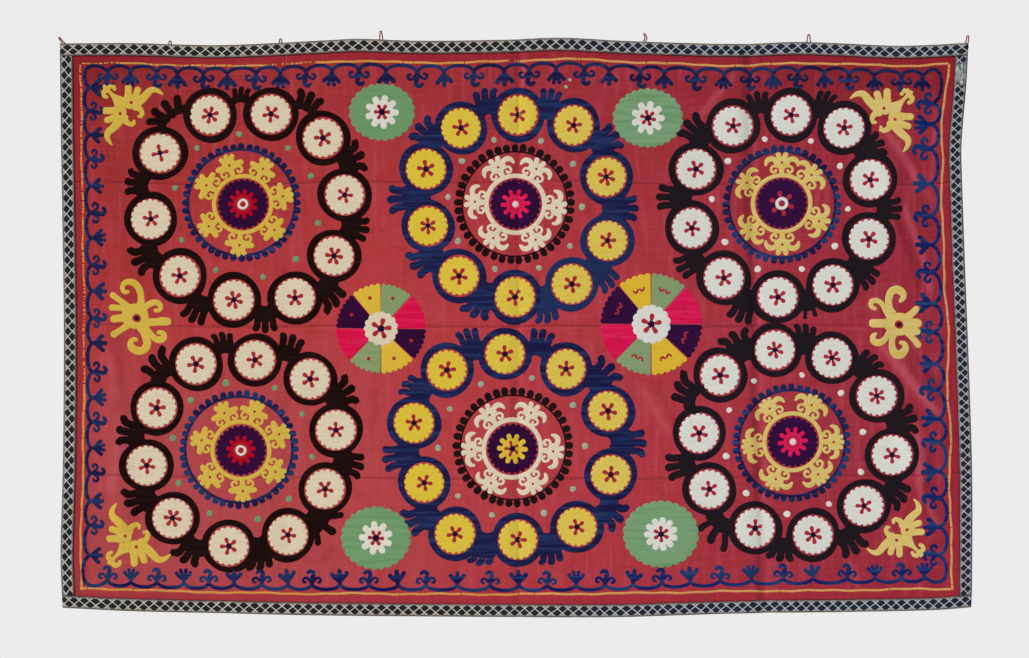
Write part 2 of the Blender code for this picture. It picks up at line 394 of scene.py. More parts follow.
def on_cloth(across, drop):
    """X and Z in metres of places on the hung cloth, from places on the flat rectangle."""
    across_share = across / CLOTH_WIDTH + 0.5
    drop_share = drop / CLOTH_DROP
    left = read_curve(LEFT_EDGE, -drop / MM)
    right = read_curve(RIGHT_EDGE, -drop / MM)
    top = read_curve(TOP_EDGE, across / MM)
    bottom = read_curve(BOTTOM_EDGE, across / MM)
    x = left + (right - left) * across_share
    z = top + (bottom - top) * drop_share
    return x * MM, z * MM


# Short ways to add and join shader nodes


def linear(red, green, blue):
    """Colour for a shader from its measured red, green and blue, 0 to 255."""
    parts = []
    for value in (red, green, blue):
        share = value / 255
        parts.append(share / 12.92 if share <= 0.04045 else ((share + 0.055) / 1.055) ** 2.4)
    return (*parts, 1)


class Nodes:
    """One node tree, with a call for each kind of node that the finishes use."""

    def __init__(self, tree):
        self.tree = tree

    def put(self, socket, value):
        if isinstance(value, bpy.types.NodeSocket):
            self.tree.links.new(value, socket)
        else:
            socket.default_value = value

    def add(self, kind, **settings):
        node = self.tree.nodes.new(kind)
        for name, value in settings.items():
            setattr(node, name, value)
        return node

    def math(self, operation, first, second=0.0, clamp=False):
        node = self.add("ShaderNodeMath", operation=operation, use_clamp=clamp)
        self.put(node.inputs[0], first)
        self.put(node.inputs[1], second)
        return node.outputs[0]

    def mix(self, share, first, second, blend="MIX"):
        node = self.add("ShaderNodeMix", data_type="RGBA", blend_type=blend, clamp_factor=True)
        self.put(node.inputs["Factor"], share)
        self.put(node.inputs[6], first)
        self.put(node.inputs[7], second)
        return node.outputs[2]

    def ramp(self, value, low, high, to_low=0.0, to_high=1.0, smooth=True):
        node = self.add("ShaderNodeMapRange", clamp=True)
        node.interpolation_type = "SMOOTHSTEP" if smooth else "LINEAR"
        self.put(node.inputs["Value"], value)
        self.put(node.inputs["From Min"], low)
        self.put(node.inputs["From Max"], high)
        self.put(node.inputs["To Min"], to_low)
        self.put(node.inputs["To Max"], to_high)
        return node.outputs["Result"]

    def noise(self, place, scale, stretch=(1, 1, 1), detail=2.0, roughness=0.5):
        scaled = self.add("ShaderNodeVectorMath", operation="MULTIPLY")
        self.put(scaled.inputs[0], place)
        self.put(scaled.inputs[1], stretch)
        node = self.add("ShaderNodeTexNoise")
        self.put(node.inputs["Vector"], scaled.outputs[0])
        self.put(node.inputs["Scale"], scale)
        self.put(node.inputs["Detail"], detail)
        self.put(node.inputs["Roughness"], roughness)
        return node.outputs["Fac"]

    def split(self, vector):
        node = self.add("ShaderNodeSeparateXYZ")
        self.put(node.inputs[0], vector)
        return node.outputs

    def place(self):
        return self.add("ShaderNodeTexCoord").outputs["Object"]


def new_group(name, inputs, outputs):
    """Shader group with its sockets; gives the group's nodes, its input node and output node."""
    tree = bpy.data.node_groups.new(name, "ShaderNodeTree")
    for socket_name, kind, value in inputs:
        socket = tree.interface.new_socket(socket_name, in_out="INPUT", socket_type=kind)
        socket.default_value = value
    for socket_name, kind in outputs:
        tree.interface.new_socket(socket_name, in_out="OUTPUT", socket_type=kind)
    nodes = Nodes(tree)
    return nodes, nodes.add("NodeGroupInput"), nodes.add("NodeGroupOutput")


def make_laid_thread_group():
    """Silk laid across the cloth and held down: streaks of dye, single threads, slight wear, and painted warm
    light at the left turning to cooler light at the right.
    """
    nodes, entry, result = new_group(
        "Laid thread",
        (
            ("Left colour", "NodeSocketColor", (0.5, 0.5, 0.5, 1)),
            ("Right colour", "NodeSocketColor", (0.5, 0.5, 0.5, 1)),
            ("Streak colour", "NodeSocketColor", (0.5, 0.5, 0.5, 1)),
            ("Streaks", "NodeSocketFloat", 0.3),
            ("Dye lot", "NodeSocketFloat", 0.5),
            ("Unevenness", "NodeSocketFloat", 0.1),
        ),
        (("Colour", "NodeSocketColor"), ("Height", "NodeSocketFloat"), ("Roughness", "NodeSocketFloat")),
    )
    place = nodes.place()
    # The left colour turns to the right colour across the cloth: painted warm light on the left, cooler light
    # on the right
    across = nodes.split(place)[0]
    side = nodes.ramp(across, -0.35, 0.55)
    base = nodes.mix(side, entry.outputs["Left colour"], entry.outputs["Right colour"])
    dye = nodes.noise(place, 1, (7, 3, 95), 3, 0.55)
    lot = nodes.ramp(entry.outputs["Dye lot"], 0.55, 1, 0, 0.7)
    streaked = nodes.math("MAXIMUM", nodes.ramp(dye, 0.42, 0.68), lot)
    dye_share = nodes.math("MULTIPLY", streaked, entry.outputs["Streaks"])
    base = nodes.mix(dye_share, base, entry.outputs["Streak colour"])
    row = nodes.noise(place, 1, (30, 3, 620), 1, 0.5)
    grain = nodes.noise(place, 1, (290, 60, 330), 2, 0.65)
    uneven = nodes.math("ADD", nodes.math("MULTIPLY", row, 0.9), nodes.math("MULTIPLY", grain, 1.5))
    uneven = nodes.math("MULTIPLY", nodes.math("SUBTRACT", uneven, 1.2), entry.outputs["Unevenness"])
    light = nodes.math("ADD", uneven, 1.0)
    shade = nodes.add("ShaderNodeVectorMath", operation="SCALE")
    nodes.put(shade.inputs[0], base)
    nodes.put(shade.inputs["Scale"], light)
    nodes.put(result.inputs["Colour"], shade.outputs[0])
    couched = nodes.noise(place, 1, (150, 20, 300), 1, 0.5)
    height = nodes.math("ADD", nodes.math("MULTIPLY", row, 0.8), nodes.math("MULTIPLY", couched, 0.6))
    nodes.put(result.inputs["Height"], height)
    nodes.put(result.inputs["Roughness"], nodes.ramp(row, 0.3, 0.7, 0.52, 0.72))
    return nodes.tree


def make_weave_group():
    """Plain weave: threads over and under, with thicker threads here and there."""
    nodes, entry, result = new_group(
        "Plain weave",
        (("Thread step", "NodeSocketFloat", 0.0009),),
        (("Height", "NodeSocketFloat"), ("Slubs", "NodeSocketFloat")),
    )
    place = nodes.place()
    x, _, z = nodes.split(place)
    turn = nodes.math("DIVIDE", math.pi, entry.outputs["Thread step"])
    warp = nodes.math("SINE", nodes.math("MULTIPLY", x, turn))
    weft = nodes.math("SINE", nodes.math("MULTIPLY", z, turn))
    over = nodes.math("MULTIPLY", warp, weft)
    weft_slub = nodes.noise(place, 1, (9, 1, 900), 2, 0.6)
    warp_slub = nodes.noise(place, 1, (900, 1, 7), 2, 0.6)
    slubs = nodes.math("ADD", weft_slub, warp_slub)
    height = nodes.math("ADD", nodes.math("MULTIPLY", over, 0.5), slubs)
    nodes.put(result.inputs["Height"], height)
    nodes.put(result.inputs["Slubs"], nodes.math("SUBTRACT", slubs, 1.0))
    return nodes.tree


LAID_THREAD = make_laid_thread_group()
PLAIN_WEAVE = make_weave_group()


def new_material(name):
    """Cloth material; gives it with its nodes and its shader."""
    material = bpy.data.materials.new(name)
    material.use_nodes = True
    nodes = Nodes(material.node_tree)
    shader = material.node_tree.nodes["Principled BSDF"]
    shader.inputs["Specular IOR Level"].default_value = 0.1
    return material, nodes, shader


def add_bump(nodes, shader, height, distance, strength=1.0):
    bump = nodes.add("ShaderNodeBump")
    bump.inputs["Distance"].default_value = distance
    bump.inputs["Strength"].default_value = strength
    nodes.put(bump.inputs["Height"], height)
    nodes.put(shader.inputs["Normal"], bump.outputs["Normal"])


def use_group(nodes, tree, **values):
    node = nodes.add("ShaderNodeGroup")
    node.node_tree = tree
    for name, value in values.items():
        nodes.put(node.inputs[name.replace("_", " ")], value)
    return node


def thread_material(name, left, right, streak, streaks, unevenness):
    material, nodes, shader = new_material(name)
    lot = nodes.add("ShaderNodeAttribute", attribute_name="dye_lot", attribute_type="GEOMETRY")
    thread = use_group(
        nodes, LAID_THREAD, Dye_lot=lot.outputs["Fac"],
        Left_colour=linear(*left), Right_colour=linear(*right), Streak_colour=linear(*streak),
        Streaks=streaks, Unevenness=unevenness,
    )
    nodes.put(shader.inputs["Base Color"], thread.outputs["Colour"])
    nodes.put(shader.inputs["Roughness"], thread.outputs["Roughness"])
    shader.inputs["Specular IOR Level"].default_value = 0.02
    add_bump(nodes, shader, thread.outputs["Height"], 0.0005, 0.7)
    return material


# Thread colours at the left and at the right of the cloth, which paint warm light on the left and cooler
# light on the right, then streak colour, streaks, unevenness
THREADS = {
    "black": ((26, 9, 9), (28, 22, 30), (42, 26, 26), 0.4, 0.25),
    "blue": ((26, 26, 66), (24, 22, 62), (36, 58, 104), 0.75, 0.28),
    "navy": ((20, 20, 74), (16, 32, 94), (44, 70, 112), 0.8, 0.25),
    "cream": ((214, 200, 173), (217, 206, 184), (204, 188, 156), 0.4, 0.36),
    "white": ((216, 211, 198), (210, 210, 204), (198, 200, 186), 0.35, 0.3),
    "gold": ((213, 187, 56), (208, 188, 98), (212, 176, 50), 0.5, 0.3),
    "yellow": ((205, 175, 74), (206, 185, 112), (206, 168, 52), 0.5, 0.28),
    "amber": ((213, 178, 58), (212, 176, 46), (206, 168, 60), 0.5, 0.28),
    "green": ((112, 152, 107), (120, 156, 118), (94, 136, 90), 0.7, 0.2),
    "moss": ((136, 152, 104), (131, 153, 112), (116, 144, 96), 0.6, 0.2),
    "sage": ((142, 158, 134), (144, 160, 142), (186, 180, 154), 0.6, 0.2),
    "purple": ((46, 8, 48), (44, 12, 56), (58, 16, 62), 0.5, 0.45),
    "pink": ((209, 14, 68), (206, 18, 78), (226, 46, 94), 0.5, 0.38),
    "red": ((166, 4, 30), (168, 8, 36), (192, 16, 46), 0.4, 0.3),
    "rose": ((160, 38, 46), (160, 36, 54), (172, 56, 62), 0.4, 0.2),
    "dark": ((30, 8, 44), (30, 12, 46), (42, 18, 58), 0.4, 0.2),
    "line": ((206, 142, 60), (204, 150, 88), (216, 170, 104), 0.6, 0.3),
    "seam": ((170, 55, 58), (160, 49, 61), (180, 68, 72), 0.3, 0.2),
}


# Flat stitched shapes, laid in the XZ plane with their height toward -Y


def grid_shape(columns, rows, place):
    """Shape from a grid; place(column, row) gives each point's x, z and height in mm."""
    shape = bmesh.new()
    bmesh.ops.create_grid(shape, x_segments=columns, y_segments=rows, size=0.5)
    for vertex in shape.verts:
        column = round((vertex.co.x + 0.5) * columns)
        row = round((vertex.co.y + 0.5) * rows)
        x, z, height = place(column, row)
        vertex.co = (x * MM, -height * MM, z * MM)
    bmesh.ops.remove_doubles(shape, verts=shape.verts, dist=0.000002)
    mesh = bpy.data.meshes.new("shape")
    shape.to_mesh(mesh)
    shape.free()
    return mesh


def path_stations(points, step):
    """Smooth path through points of x, z and width, cut close at its round ends."""
    count = len(points)
    fine = np.linspace(0, count - 1, 20 * (count - 1) + 1)
    x, z, width = (
        read_curve([(index, point[part]) for index, point in enumerate(points)], fine)
        for part in range(3)
    )
    steps = np.hypot(np.diff(x), np.diff(z))
    length = np.concatenate(((0,), np.cumsum(steps)))
    total = length[-1]
    start_cap = min(width[0] / 2, total * 0.45)
    end_cap = min(width[-1] / 2, total * 0.45)
    turns = np.radians((0, 28, 55, 90))
    middle_count = max(round((total - start_cap - end_cap) / step), 1)
    middle = np.linspace(start_cap, total - end_cap, middle_count + 1)
    cuts = np.concatenate((
        start_cap * (1 - np.cos(turns[:-1])),
        middle,
        total - end_cap * (1 - np.cos(turns[-2::-1])),
    ))
    at = np.interp(cuts, length, fine)
    station_x, station_z = np.interp(cuts, length, x), np.interp(cuts, length, z)
    half = np.interp(cuts, length, width) / 2
    slope_x = np.interp(at, fine, np.gradient(x))
    slope_z = np.interp(at, fine, np.gradient(z))
    size = np.hypot(slope_x, slope_z)
    cap_share = np.ones_like(cuts)
    if start_cap > 0:
        near = np.clip(1 - cuts / start_cap, 0, 1)
        cap_share *= np.sqrt(1 - near ** 2)
    if end_cap > 0:
        near = np.clip(1 - (total - cuts) / end_cap, 0, 1)
        cap_share *= np.sqrt(1 - near ** 2)
    return station_x, station_z, half * cap_share, slope_x / size, slope_z / size, cap_share


def band_profile(widest):
    """Points across a band: place from -1 to 1, distance in from the edge, share of its height."""
    cells = max(math.ceil(widest / BAND_CELL), 1)
    edge = BAND_EDGE[:-1]
    inset, share = BAND_EDGE[-1]
    profile = [(-1, *point) for point in edge]
    profile += [(2 * cell / cells - 1, inset, share) for cell in range(cells + 1)]
    profile += [(1, *point) for point in reversed(edge)]
    return profile


def stroke(points, rise=RISE, floor=0.0, step=6.0):
    """Stitched band with round ends along a smooth path of x, z and width."""
    x, z, half, along_x, along_z, cap = path_stations(points, step)
    profile = band_profile(max(point[2] for point in points))

    def place(column, row):
        side, inset, share = profile[column]
        reach = half[row] + SUNK_WIDTH
        offset = side * (reach - min(inset, reach * inset / 4))
        full = floor - EDGE_SUNK + (rise - floor + EDGE_SUNK) * share * min(1, 1.6 * cap[row])
        return x[row] + along_z[row] * offset, z[row] - along_x[row] * offset, CLOTH_FACE + full

    return grid_shape(len(profile) - 1, len(x) - 1, place)


def polar(outer, inner, steps, cells, rise=RISE, floor=0.0, start=0.0, end=360.0, round_sides=False):
    """Stitched disc, ring or sector; outer and inner give a radius in mm for an angle in degrees.

    Angles run anticlockwise from +X. cells is the number of cells between the shoulders.
    """
    def stations(angle):
        far = outer(angle)
        near = inner(angle)
        rows = [(far, 0), (far - RIM_WIDTH, 0.8), (far - SHOULDER_WIDTH, 1)]
        if near > 0:
            last = near + SHOULDER_WIDTH
            rows += [(far - SHOULDER_WIDTH + (last - far + SHOULDER_WIDTH) * step / cells, 1)
                     for step in range(1, cells + 1)]
            rows += [(near + RIM_WIDTH, 0.8), (near, 0)]
        else:
            rows += [((far - SHOULDER_WIDTH) * (1 - step / cells), 1) for step in range(1, cells + 1)]
        return rows

    row_count = len(stations(start)) - 1

    def place(column, row):
        angle = start + (end - start) * column / steps
        radius, share = stations(angle)[row]
        if round_sides and column in (0, steps):
            share = 0
        height = floor - EDGE_SUNK + (rise - floor + EDGE_SUNK) * share
        turn = math.radians(angle)
        return radius * math.cos(turn), radius * math.sin(turn), CLOTH_FACE + height

    return grid_shape(steps, row_count, place)


def level(value):
    return lambda angle: value


def wavy(radius, size, phase):
    """Radius of a hand-drawn circle, never quite round."""
    def at(angle):
        turn = math.radians(angle)
        return radius + size * (math.cos(2 * turn + phase) + 0.6 * math.cos(3 * turn + 2.3 * phase))
    return at


def oval(half_width, half_height):
    """Radius of an oval."""
    def at(angle):
        turn = math.radians(angle)
        return 1 / math.hypot(math.cos(turn) / half_width, math.sin(turn) / half_height)
    return at


def scallops(radius, depth, count, squash=1.0, power=0.65):
    """Scalloped rim; squash is the height of an oval rim as a share of its width."""
    def at(angle):
        turn = math.radians(angle)
        oval = radius / math.hypot(math.cos(turn), math.sin(turn) / squash)
        return oval - depth * (1 - abs(math.sin(count * turn / 2)) ** power)
    return at


families = {name: bmesh.new() for name in THREADS}
# Dye lot of each motif, and its number of points, for each thread
dye_lots = {name: [] for name in THREADS}
flat_places = {}


def lay(family, shape, x=0.0, z=0.0, turn=0.0, size=1.0, mirrored=False, dye=None):
    """Copy a flat shape to its place on the cloth; turn is anticlockwise, in degrees."""
    if shape.name not in flat_places:
        places = np.empty(len(shape.vertices) * 3)
        shape.vertices.foreach_get("co", places)
        flat_places[shape.name] = places.reshape(-1, 3)
    matrix = (
        Matrix.Translation((x * MM, 0, z * MM))
        @ Matrix.Rotation(math.radians(-turn), 4, "Y")
        @ Matrix.Diagonal((-size if mirrored else size, 1, size, 1))
    )
    matrix = np.array(matrix)
    places = flat_places[shape.name] @ matrix[:3, :3].T + matrix[:3, 3]
    shape.vertices.foreach_set("co", places.ravel())
    if mirrored:
        shape.flip_normals()
    families[family].from_mesh(shape)
    if mirrored:
        shape.flip_normals()
    dye_lots[family].append((chance.random() if dye is None else dye, len(shape.vertices)))


def put_at(shape, x, z):
    """Move a flat shape within its own motif."""
    shape.transform(Matrix.Translation((x * MM, 0, z * MM)))
    return shape


def between(low, high):
    return chance.uniform(low, high)


# The medallions


def make_flower(petals, start, reach, thin, wide, rise, floor):
    """Shapes of a small flower: straight petals that widen outward."""
    shapes = []
    for index in range(petals):
        angle = math.radians(90 + 360 * index / petals)
        across = math.cos(angle)
        up = math.sin(angle)
        stations = ((start, thin), (start * 0.4 + reach * 0.6, wide * 0.92), (reach, wide))
        points = [(across * away, up * away, width) for away, width in stations]
        shapes.append(stroke(points, rise, floor, 4))
    return shapes


def lay_all(family, shapes, **where):
    for shape in shapes:
        lay(family, shape, **where)


RINGS = {}
DISC = polar(scallops(50.5, 5.2, 20, 1, 0.8), level(0), 100, 6, 0.8)
DISC_UNEVEN = polar(scallops(50.5, 5, 19, 0.97, 0.8), level(0), 95, 6, 0.8)
PETALS = {count: make_flower(count, 5, 22.5, 5, 11.5, 1.1, 0.8) for count in (4, 5, 6)}
STAR = polar(scallops(8.6, 3, 5, 1, 1.2), level(0), 20, 1, 1.4, 0.8)
DOT = polar(wavy(8.4, 0.5, 0.7), level(0), 18, 1, 0.7)


def ring_shapes(outer):
    """Three rings of one size, each with its own wander."""
    if outer not in RINGS:
        RINGS[outer] = [
            polar(wavy(outer, 1.4, phase), wavy(51.5, 0.6, phase + 1), 56, 2, 0.75)
            for phase in (0.4, 2.2, 4.1)
        ]
    return RINGS[outer]


RING_MIDDLE = 60
# Fingers of a hand, left to right: place across as a share of the spread, reach lost
THREE_FINGERS = ((-1, 4), (0, 0), (1, 5))
TWO_FINGERS = ((-1, 0), (1, 0))
FOUR_FINGERS = ((-1.03, 15), (-0.48, 1), (0.22, 0), (0.95, 10))
HANDS_WITH_FOUR = (("A", 0),)
HANDS_WITH_TWO = (("C", 5),)


def palm(spacing, start, top, foot_half):
    """Filled cloth between two rings, from a hollow edge up to the feet of the fingers."""
    rows = max(round((top - start) / 7), 3)
    profile = band_profile(spacing - RING_MIDDLE)

    def place(column, row):
        side, inset, share = profile[column]
        up_share = row / rows
        up = start + (top - start) * up_share
        half = spacing / 2 - math.sqrt(max(RING_MIDDLE ** 2 - up ** 2, 900))
        half = min(half, foot_half + 0.6 * (top - up))
        offset = side * (1 - inset / max(half, 6))
        arch = (1 - up_share) * (math.sqrt(1 - offset ** 2) - 1) * half * 0.9
        bow = (1 - offset ** 2) * (3 + 2 * up_share) + arch
        if row in (0, rows):
            share = 0
        height = CLOTH_FACE - EDGE_SUNK + (0.74 + EDGE_SUNK) * share
        return offset * half, up + bow, height

    return grid_shape(len(profile) - 1, rows, place)


def lay_hand(family, first, second, centre, hand, fingers, dye):
    """Hand of black or blue thread that joins two roundels on the outside of the wreath."""
    reach, spread, lean, start = hand
    middle = (Vector(first) + Vector(second)) / 2
    line = Vector(second) - Vector(first)
    outward = Vector((line.y, -line.x)).normalized()
    if outward.dot(middle) < 0:
        outward.negate()
    turn = math.degrees(math.atan2(outward.y, outward.x)) - 90
    where = dict(x=centre[0] + middle.x, z=centre[1] + middle.y, turn=turn, dye=dye)
    top = 20 + 0.42 * reach
    foot_half = spread * 0.8 + 6.5
    lay(family, palm(line.length, start, top, foot_half), **where)
    for side, lost in fingers:
        curve = max(spread - 36, 0) if side else 0
        parted = 0.62 if curve else min(0.84, max(0.64, 0.84 - 0.028 * (spread - 23)))
        foot = lean * 0.4 + side * spread * parted
        tip = lean + side * spread
        tip_up = reach + 2 - lost - curve
        bend = 1.3 if curve else 0.45
        width = 17 if curve else min(21, spread * 0.66 + 3.5)
        if len(fingers) == 4:
            width = 21
        points = [
            (foot * 0.85, top - 18, 12),
            (foot, top - 4, width * 0.86),
            (foot + (tip - foot) * bend * 0.6, top + (tip_up - top) * 0.45, width * 0.93),
            (tip, tip_up - 9, width),
            (tip + side * curve * 0.4, tip_up, width * 0.86),
        ]
        lay(family, stroke(points, 0.73), **where)


def lay_wreath(medallion):
    centre = (medallion["x"], medallion["z"])
    roundels = medallion["roundels"]
    rings = ring_shapes(medallion["ring_outer"])
    for index, (x, z) in enumerate(roundels):
        place = dict(x=centre[0] + x, z=centre[1] + z)
        dye = chance.random() * medallion.get("fading_and_fold_shade", 1)
        lay(medallion["wreath"], chance.choice(rings), turn=between(0, 360),
            size=between(0.985, 1.015), dye=dye, **place)
        disc = chance.choice((DISC, DISC_UNEVEN))
        lay(medallion["disc"], disc, turn=between(0, 360), **place)
        petals = 4 if (medallion["name"], index) == ("A", 0) else chance.choice((5, 5, 5, 5, 6))
        turn = between(0, 72)
        size = between(0.94, 1.05)
        lay_all("rose", PETALS[petals], turn=turn, size=size, **place)
        lay("dark", STAR, turn=turn + 18, size=size, **place)
        following = roundels[(index + 1) % len(roundels)]
        key = (medallion["name"], index)
        fingers = THREE_FINGERS
        if key in HANDS_WITH_FOUR:
            fingers = FOUR_FINGERS
        if key in HANDS_WITH_TWO:
            fingers = TWO_FINGERS
        lay_hand(medallion["wreath"], (x, z), following, centre, medallion["hands"][index], fingers, dye)
    for x, z in medallion["dots"]:
        lay(medallion["dot"], DOT, centre[0] + x, centre[1] + z, between(0, 360), between(0.85, 1.05))


def curl(x, z, radius, band, blob, start, sweep, lead=()):
    """Points of a curl that winds inward, clockwise from a start angle, after lead points."""
    points = list(lead)
    turns = 9
    for step in range(turns + 1):
        share = step / turns
        tighten = max(share * 2 - 1, 0) ** 1.4
        angle = math.radians(start - sweep * share)
        away = (radius - band / 2) * (1 - tighten) + 0.1 * radius * tighten
        width = band + (blob - band) * tighten
        points.append((x + away * math.cos(angle), z + away * math.sin(angle), width))
    return points


def flip(points):
    return [(-x, z, width) for x, z, width in points]


# Half of a spray, its foot at the middle of the inner ring: side, outward, width
SPRAY_TRUNK = ((0, -3, 13), (0, 9, 13), (0, 24, 22))
SPRAY_CURL = curl(18.5, 14.5, 12, 6.6, 10.5, 110, 300, [(5, 27, 10)])
SPRAY_HALVES = {
    "lobed": (
        ((8, 30, 14), (22, 30.5, 14), (37, 29, 14.5)),
        ((5, 36, 12), (12, 48, 13), (17.5, 57, 14)),
    ),
    "two-lobed leafy": (
        ((8, 33, 13), (20, 40, 13), (31, 40.5, 14), (38.5, 34, 11.5), (41, 22, 5)),
        ((4, 38, 12), (8.5, 50, 13), (12, 59, 14)),
    ),
    "three-lobed leafy": (
        ((8, 33, 13), (20, 40, 13), (31, 40.5, 14), (38.5, 34, 11.5), (41, 22, 5)),
        ((5, 38, 10), (12, 49, 11), (16, 57, 12)),
    ),
}
SPRAY_TOPS = {"lobed": ((0, 38, 12), (0, 62, 14)), "three-lobed leafy": ((0, 38, 11), (0, 61, 12))}


def spray_shapes(kind):
    """Flower spray that stands on the inner ring; its foot is on the ring, its tip outward."""
    body = put_at(polar(oval(21, 15), level(0), 36, 2, 0.8), 0, 31)
    shapes = [stroke(SPRAY_TRUNK, 0.78), body]
    for rise, points in zip((0.74, 0.76, 0.79), (SPRAY_CURL, *SPRAY_HALVES[kind])):
        shapes.append(stroke(points, rise, step=4))
        shapes.append(stroke(flip(points), rise, step=4))
    if kind in SPRAY_TOPS:
        shapes.append(stroke(SPRAY_TOPS[kind], 0.785))
    return shapes


SPRAYS = {kind: spray_shapes(kind) for kind in SPRAY_HALVES}
SPRAY_DOT = put_at(polar(level(3.7), level(0), 12, 1, 1.2, 0.8), 0, 32)
TOOTHED_BANDS = {
    "navy": polar(wavy(136.5, 0.7, 1), wavy(129.3, 0.6, 1), 120, 1, 0.7),
    "black": polar(wavy(133.5, 0.7, 1), wavy(128.6, 0.6, 1), 120, 1, 0.7),
}
INNER_RINGS = {
    "yellow": polar(wavy(76.8, 0.7, 2), wavy(65.8, 0.5, 2), 84, 1, 0.74),
    "cream": polar(wavy(78, 0.7, 2), wavy(66, 0.5, 2), 84, 1, 0.74),
}
PURPLE_DISC = polar(scallops(64, 5.5, 26, 1, 0.9), level(0), 104, 8, 0.72)
# Teeth around each toothed ring, width of a tooth, and teeth in one length of thread
TEETH_ON_RING = {"navy": 44, "black": 41}
TOOTH_WIDTH = {"navy": 16.3, "black": 18}
TOOTH_TIP = {"navy": 149, "black": 151.5}
TEETH_IN_ONE_DYE = 7
SPRAY_FOOT = 70.5


def lay_teeth(colour, centre):
    """Knobs around the outside of the toothed ring."""
    count = TEETH_ON_RING[colour]
    dye = 0.5
    for index in range(count):
        if index % TEETH_IN_ONE_DYE == 0:
            dye = chance.random()
            thread = chance.choice((colour, "blue")) if colour == "navy" else colour
        turn = 360 * index / count + between(-0.5, 0.5)
        width = TOOTH_WIDTH[colour] * between(0.93, 1.05)
        points = [
            (0, 130, width * 0.9),
            (0, 139, width),
            (between(-1, 1), TOOTH_TIP[colour] + between(-1.5, 1.5), width * 0.95),
        ]
        lay(thread, stroke(points, 0.72, step=4), centre.x, centre.y, turn, dye=dye)


def lay_centre_flower(medallion, place):
    """Flower on the purple middle of a medallion."""
    kind = medallion["flower"]
    floor = 0.72
    if kind == "red":
        lay_all("red", make_flower(11, 18, 37.5, 9, 11, 1.2, floor), **place)
        lay("red", polar(level(27), level(0), 44, 3, 1.15, floor), **place)
        lay("rose", polar(level(20), level(12), 40, 1, 1.3, floor), **place)
        lay("white", polar(wavy(14, 0.5, 1), level(6.6), 30, 1, 1.5, floor), **place)
        lay("rose", polar(level(6.2), level(0), 20, 1, 1.5, floor), **place)
    elif kind == "pink":
        lay_all("pink", make_flower(10, 15, 38, 8, 11.5, 1.2, floor), **place)
        lay("pink", polar(level(24), level(0), 44, 3, 1.15, floor), **place)
        lay("rose", polar(level(17), level(12.5), 40, 1, 1.3, floor), **place)
        lay("white", polar(level(8.6), level(0), 20, 1, 1.6, floor), **place)
    elif kind == "petals":
        lay_all("rose", make_flower(6, 15, 32, 7, 13, 1.2, floor), **place)
        lay("white", polar(wavy(16.5, 0.4, 1), level(7.6), 30, 1, 1.4, floor), **place)
        lay("rose", polar(level(7.2), level(0), 20, 1, 1.4, floor), **place)
    else:
        lay_all("amber", make_flower(10, 10, 39, 9, 13, 1.2, floor), **place)
        lay("amber", polar(level(26), level(0), 44, 3, 1.3, floor), **place)
        lay_all("rose", make_flower(5, 7, 21, 5, 9, 1.6, 1.2), **place)
        lay("dark", polar(scallops(9.5, 2.5, 5, 1, 1.2), level(0), 20, 1, 1.8, 1.2), **place)


def lay_medallion(medallion):
    lay_wreath(medallion)
    centre = Vector((medallion["x"], medallion["z"]))
    outer = centre + Vector(medallion["outer"])
    middle = centre + Vector(medallion["middle"])
    band_thread = "blue" if medallion["teeth"] == "navy" else "black"
    lay(band_thread, TOOTHED_BANDS[medallion["teeth"]], outer.x, outer.y, between(0, 360))
    lay_teeth(medallion["teeth"], outer)
    place = dict(x=middle[0], z=middle[1], turn=between(0, 360))
    lay(medallion["ring"], INNER_RINGS[medallion["ring"]], **place)
    lay("purple", PURPLE_DISC, **place)
    lay_centre_flower(medallion, place)
    for x, z in medallion["sprays"]:
        angle = math.atan2(z, x)
        spray = dict(
            x=middle[0] + SPRAY_FOOT * math.cos(angle),
            z=middle[1] + SPRAY_FOOT * math.sin(angle),
            turn=math.degrees(angle) - 90 + between(-3, 3),
            size=between(0.96, 1.02),
            mirrored=chance.random() < 0.5,
            dye=chance.random(),
        )
        lay_all(medallion["ring"], SPRAYS[medallion["spray"]], **spray)
        lay("rose", SPRAY_DOT, **spray)


for medallion in MEDALLIONS:
    lay_medallion(medallion)

# Green rosettes and pinwheels


def lay_rosette(row):
    x, z, half_width, half_height, count, petals = row
    place = dict(x=x, z=z)
    rim = scallops(half_width, 5, count, half_height / half_width)
    lay("green", polar(rim, level(0), count * 4, 9, 0.8), **place)
    turn = between(0, 30)
    lay_all("white", make_flower(petals, 18, 43, 13, 18, 1.1, 0.8), turn=turn, **place)
    lay("white", polar(level(30), level(0), 40, 3, 1.08, 0.8), turn=turn, **place)
    lay_all("rose", make_flower(6, 6, 21, 6, 11, 1.35, 1.05), turn=between(0, 30), **place)
    lay("dark", polar(scallops(9.5, 2.4, 6, 1, 1.2), level(0), 24, 1, 1.7, 1.1), **place)


def sector_mark(radius, angle, squiggle):
    """Red dot or pair of small arcs in one sector of a pinwheel."""
    turn = math.radians(angle)
    x = radius * math.cos(turn)
    z = radius * math.sin(turn)
    if not squiggle:
        return [(polar(level(5.2), level(0), 16, 1, 1.2, 0.8), x, z, 0)]
    marks = []
    for side in (-1, 1):
        points = [(side * 15, 3, 3), (side * 12, -4, 5), (side * 6, -5, 6), (side * 1.5, 2, 4)]
        marks.append((stroke(points, 1.2, 0.8, 3), x, z, angle - 90))
    return marks


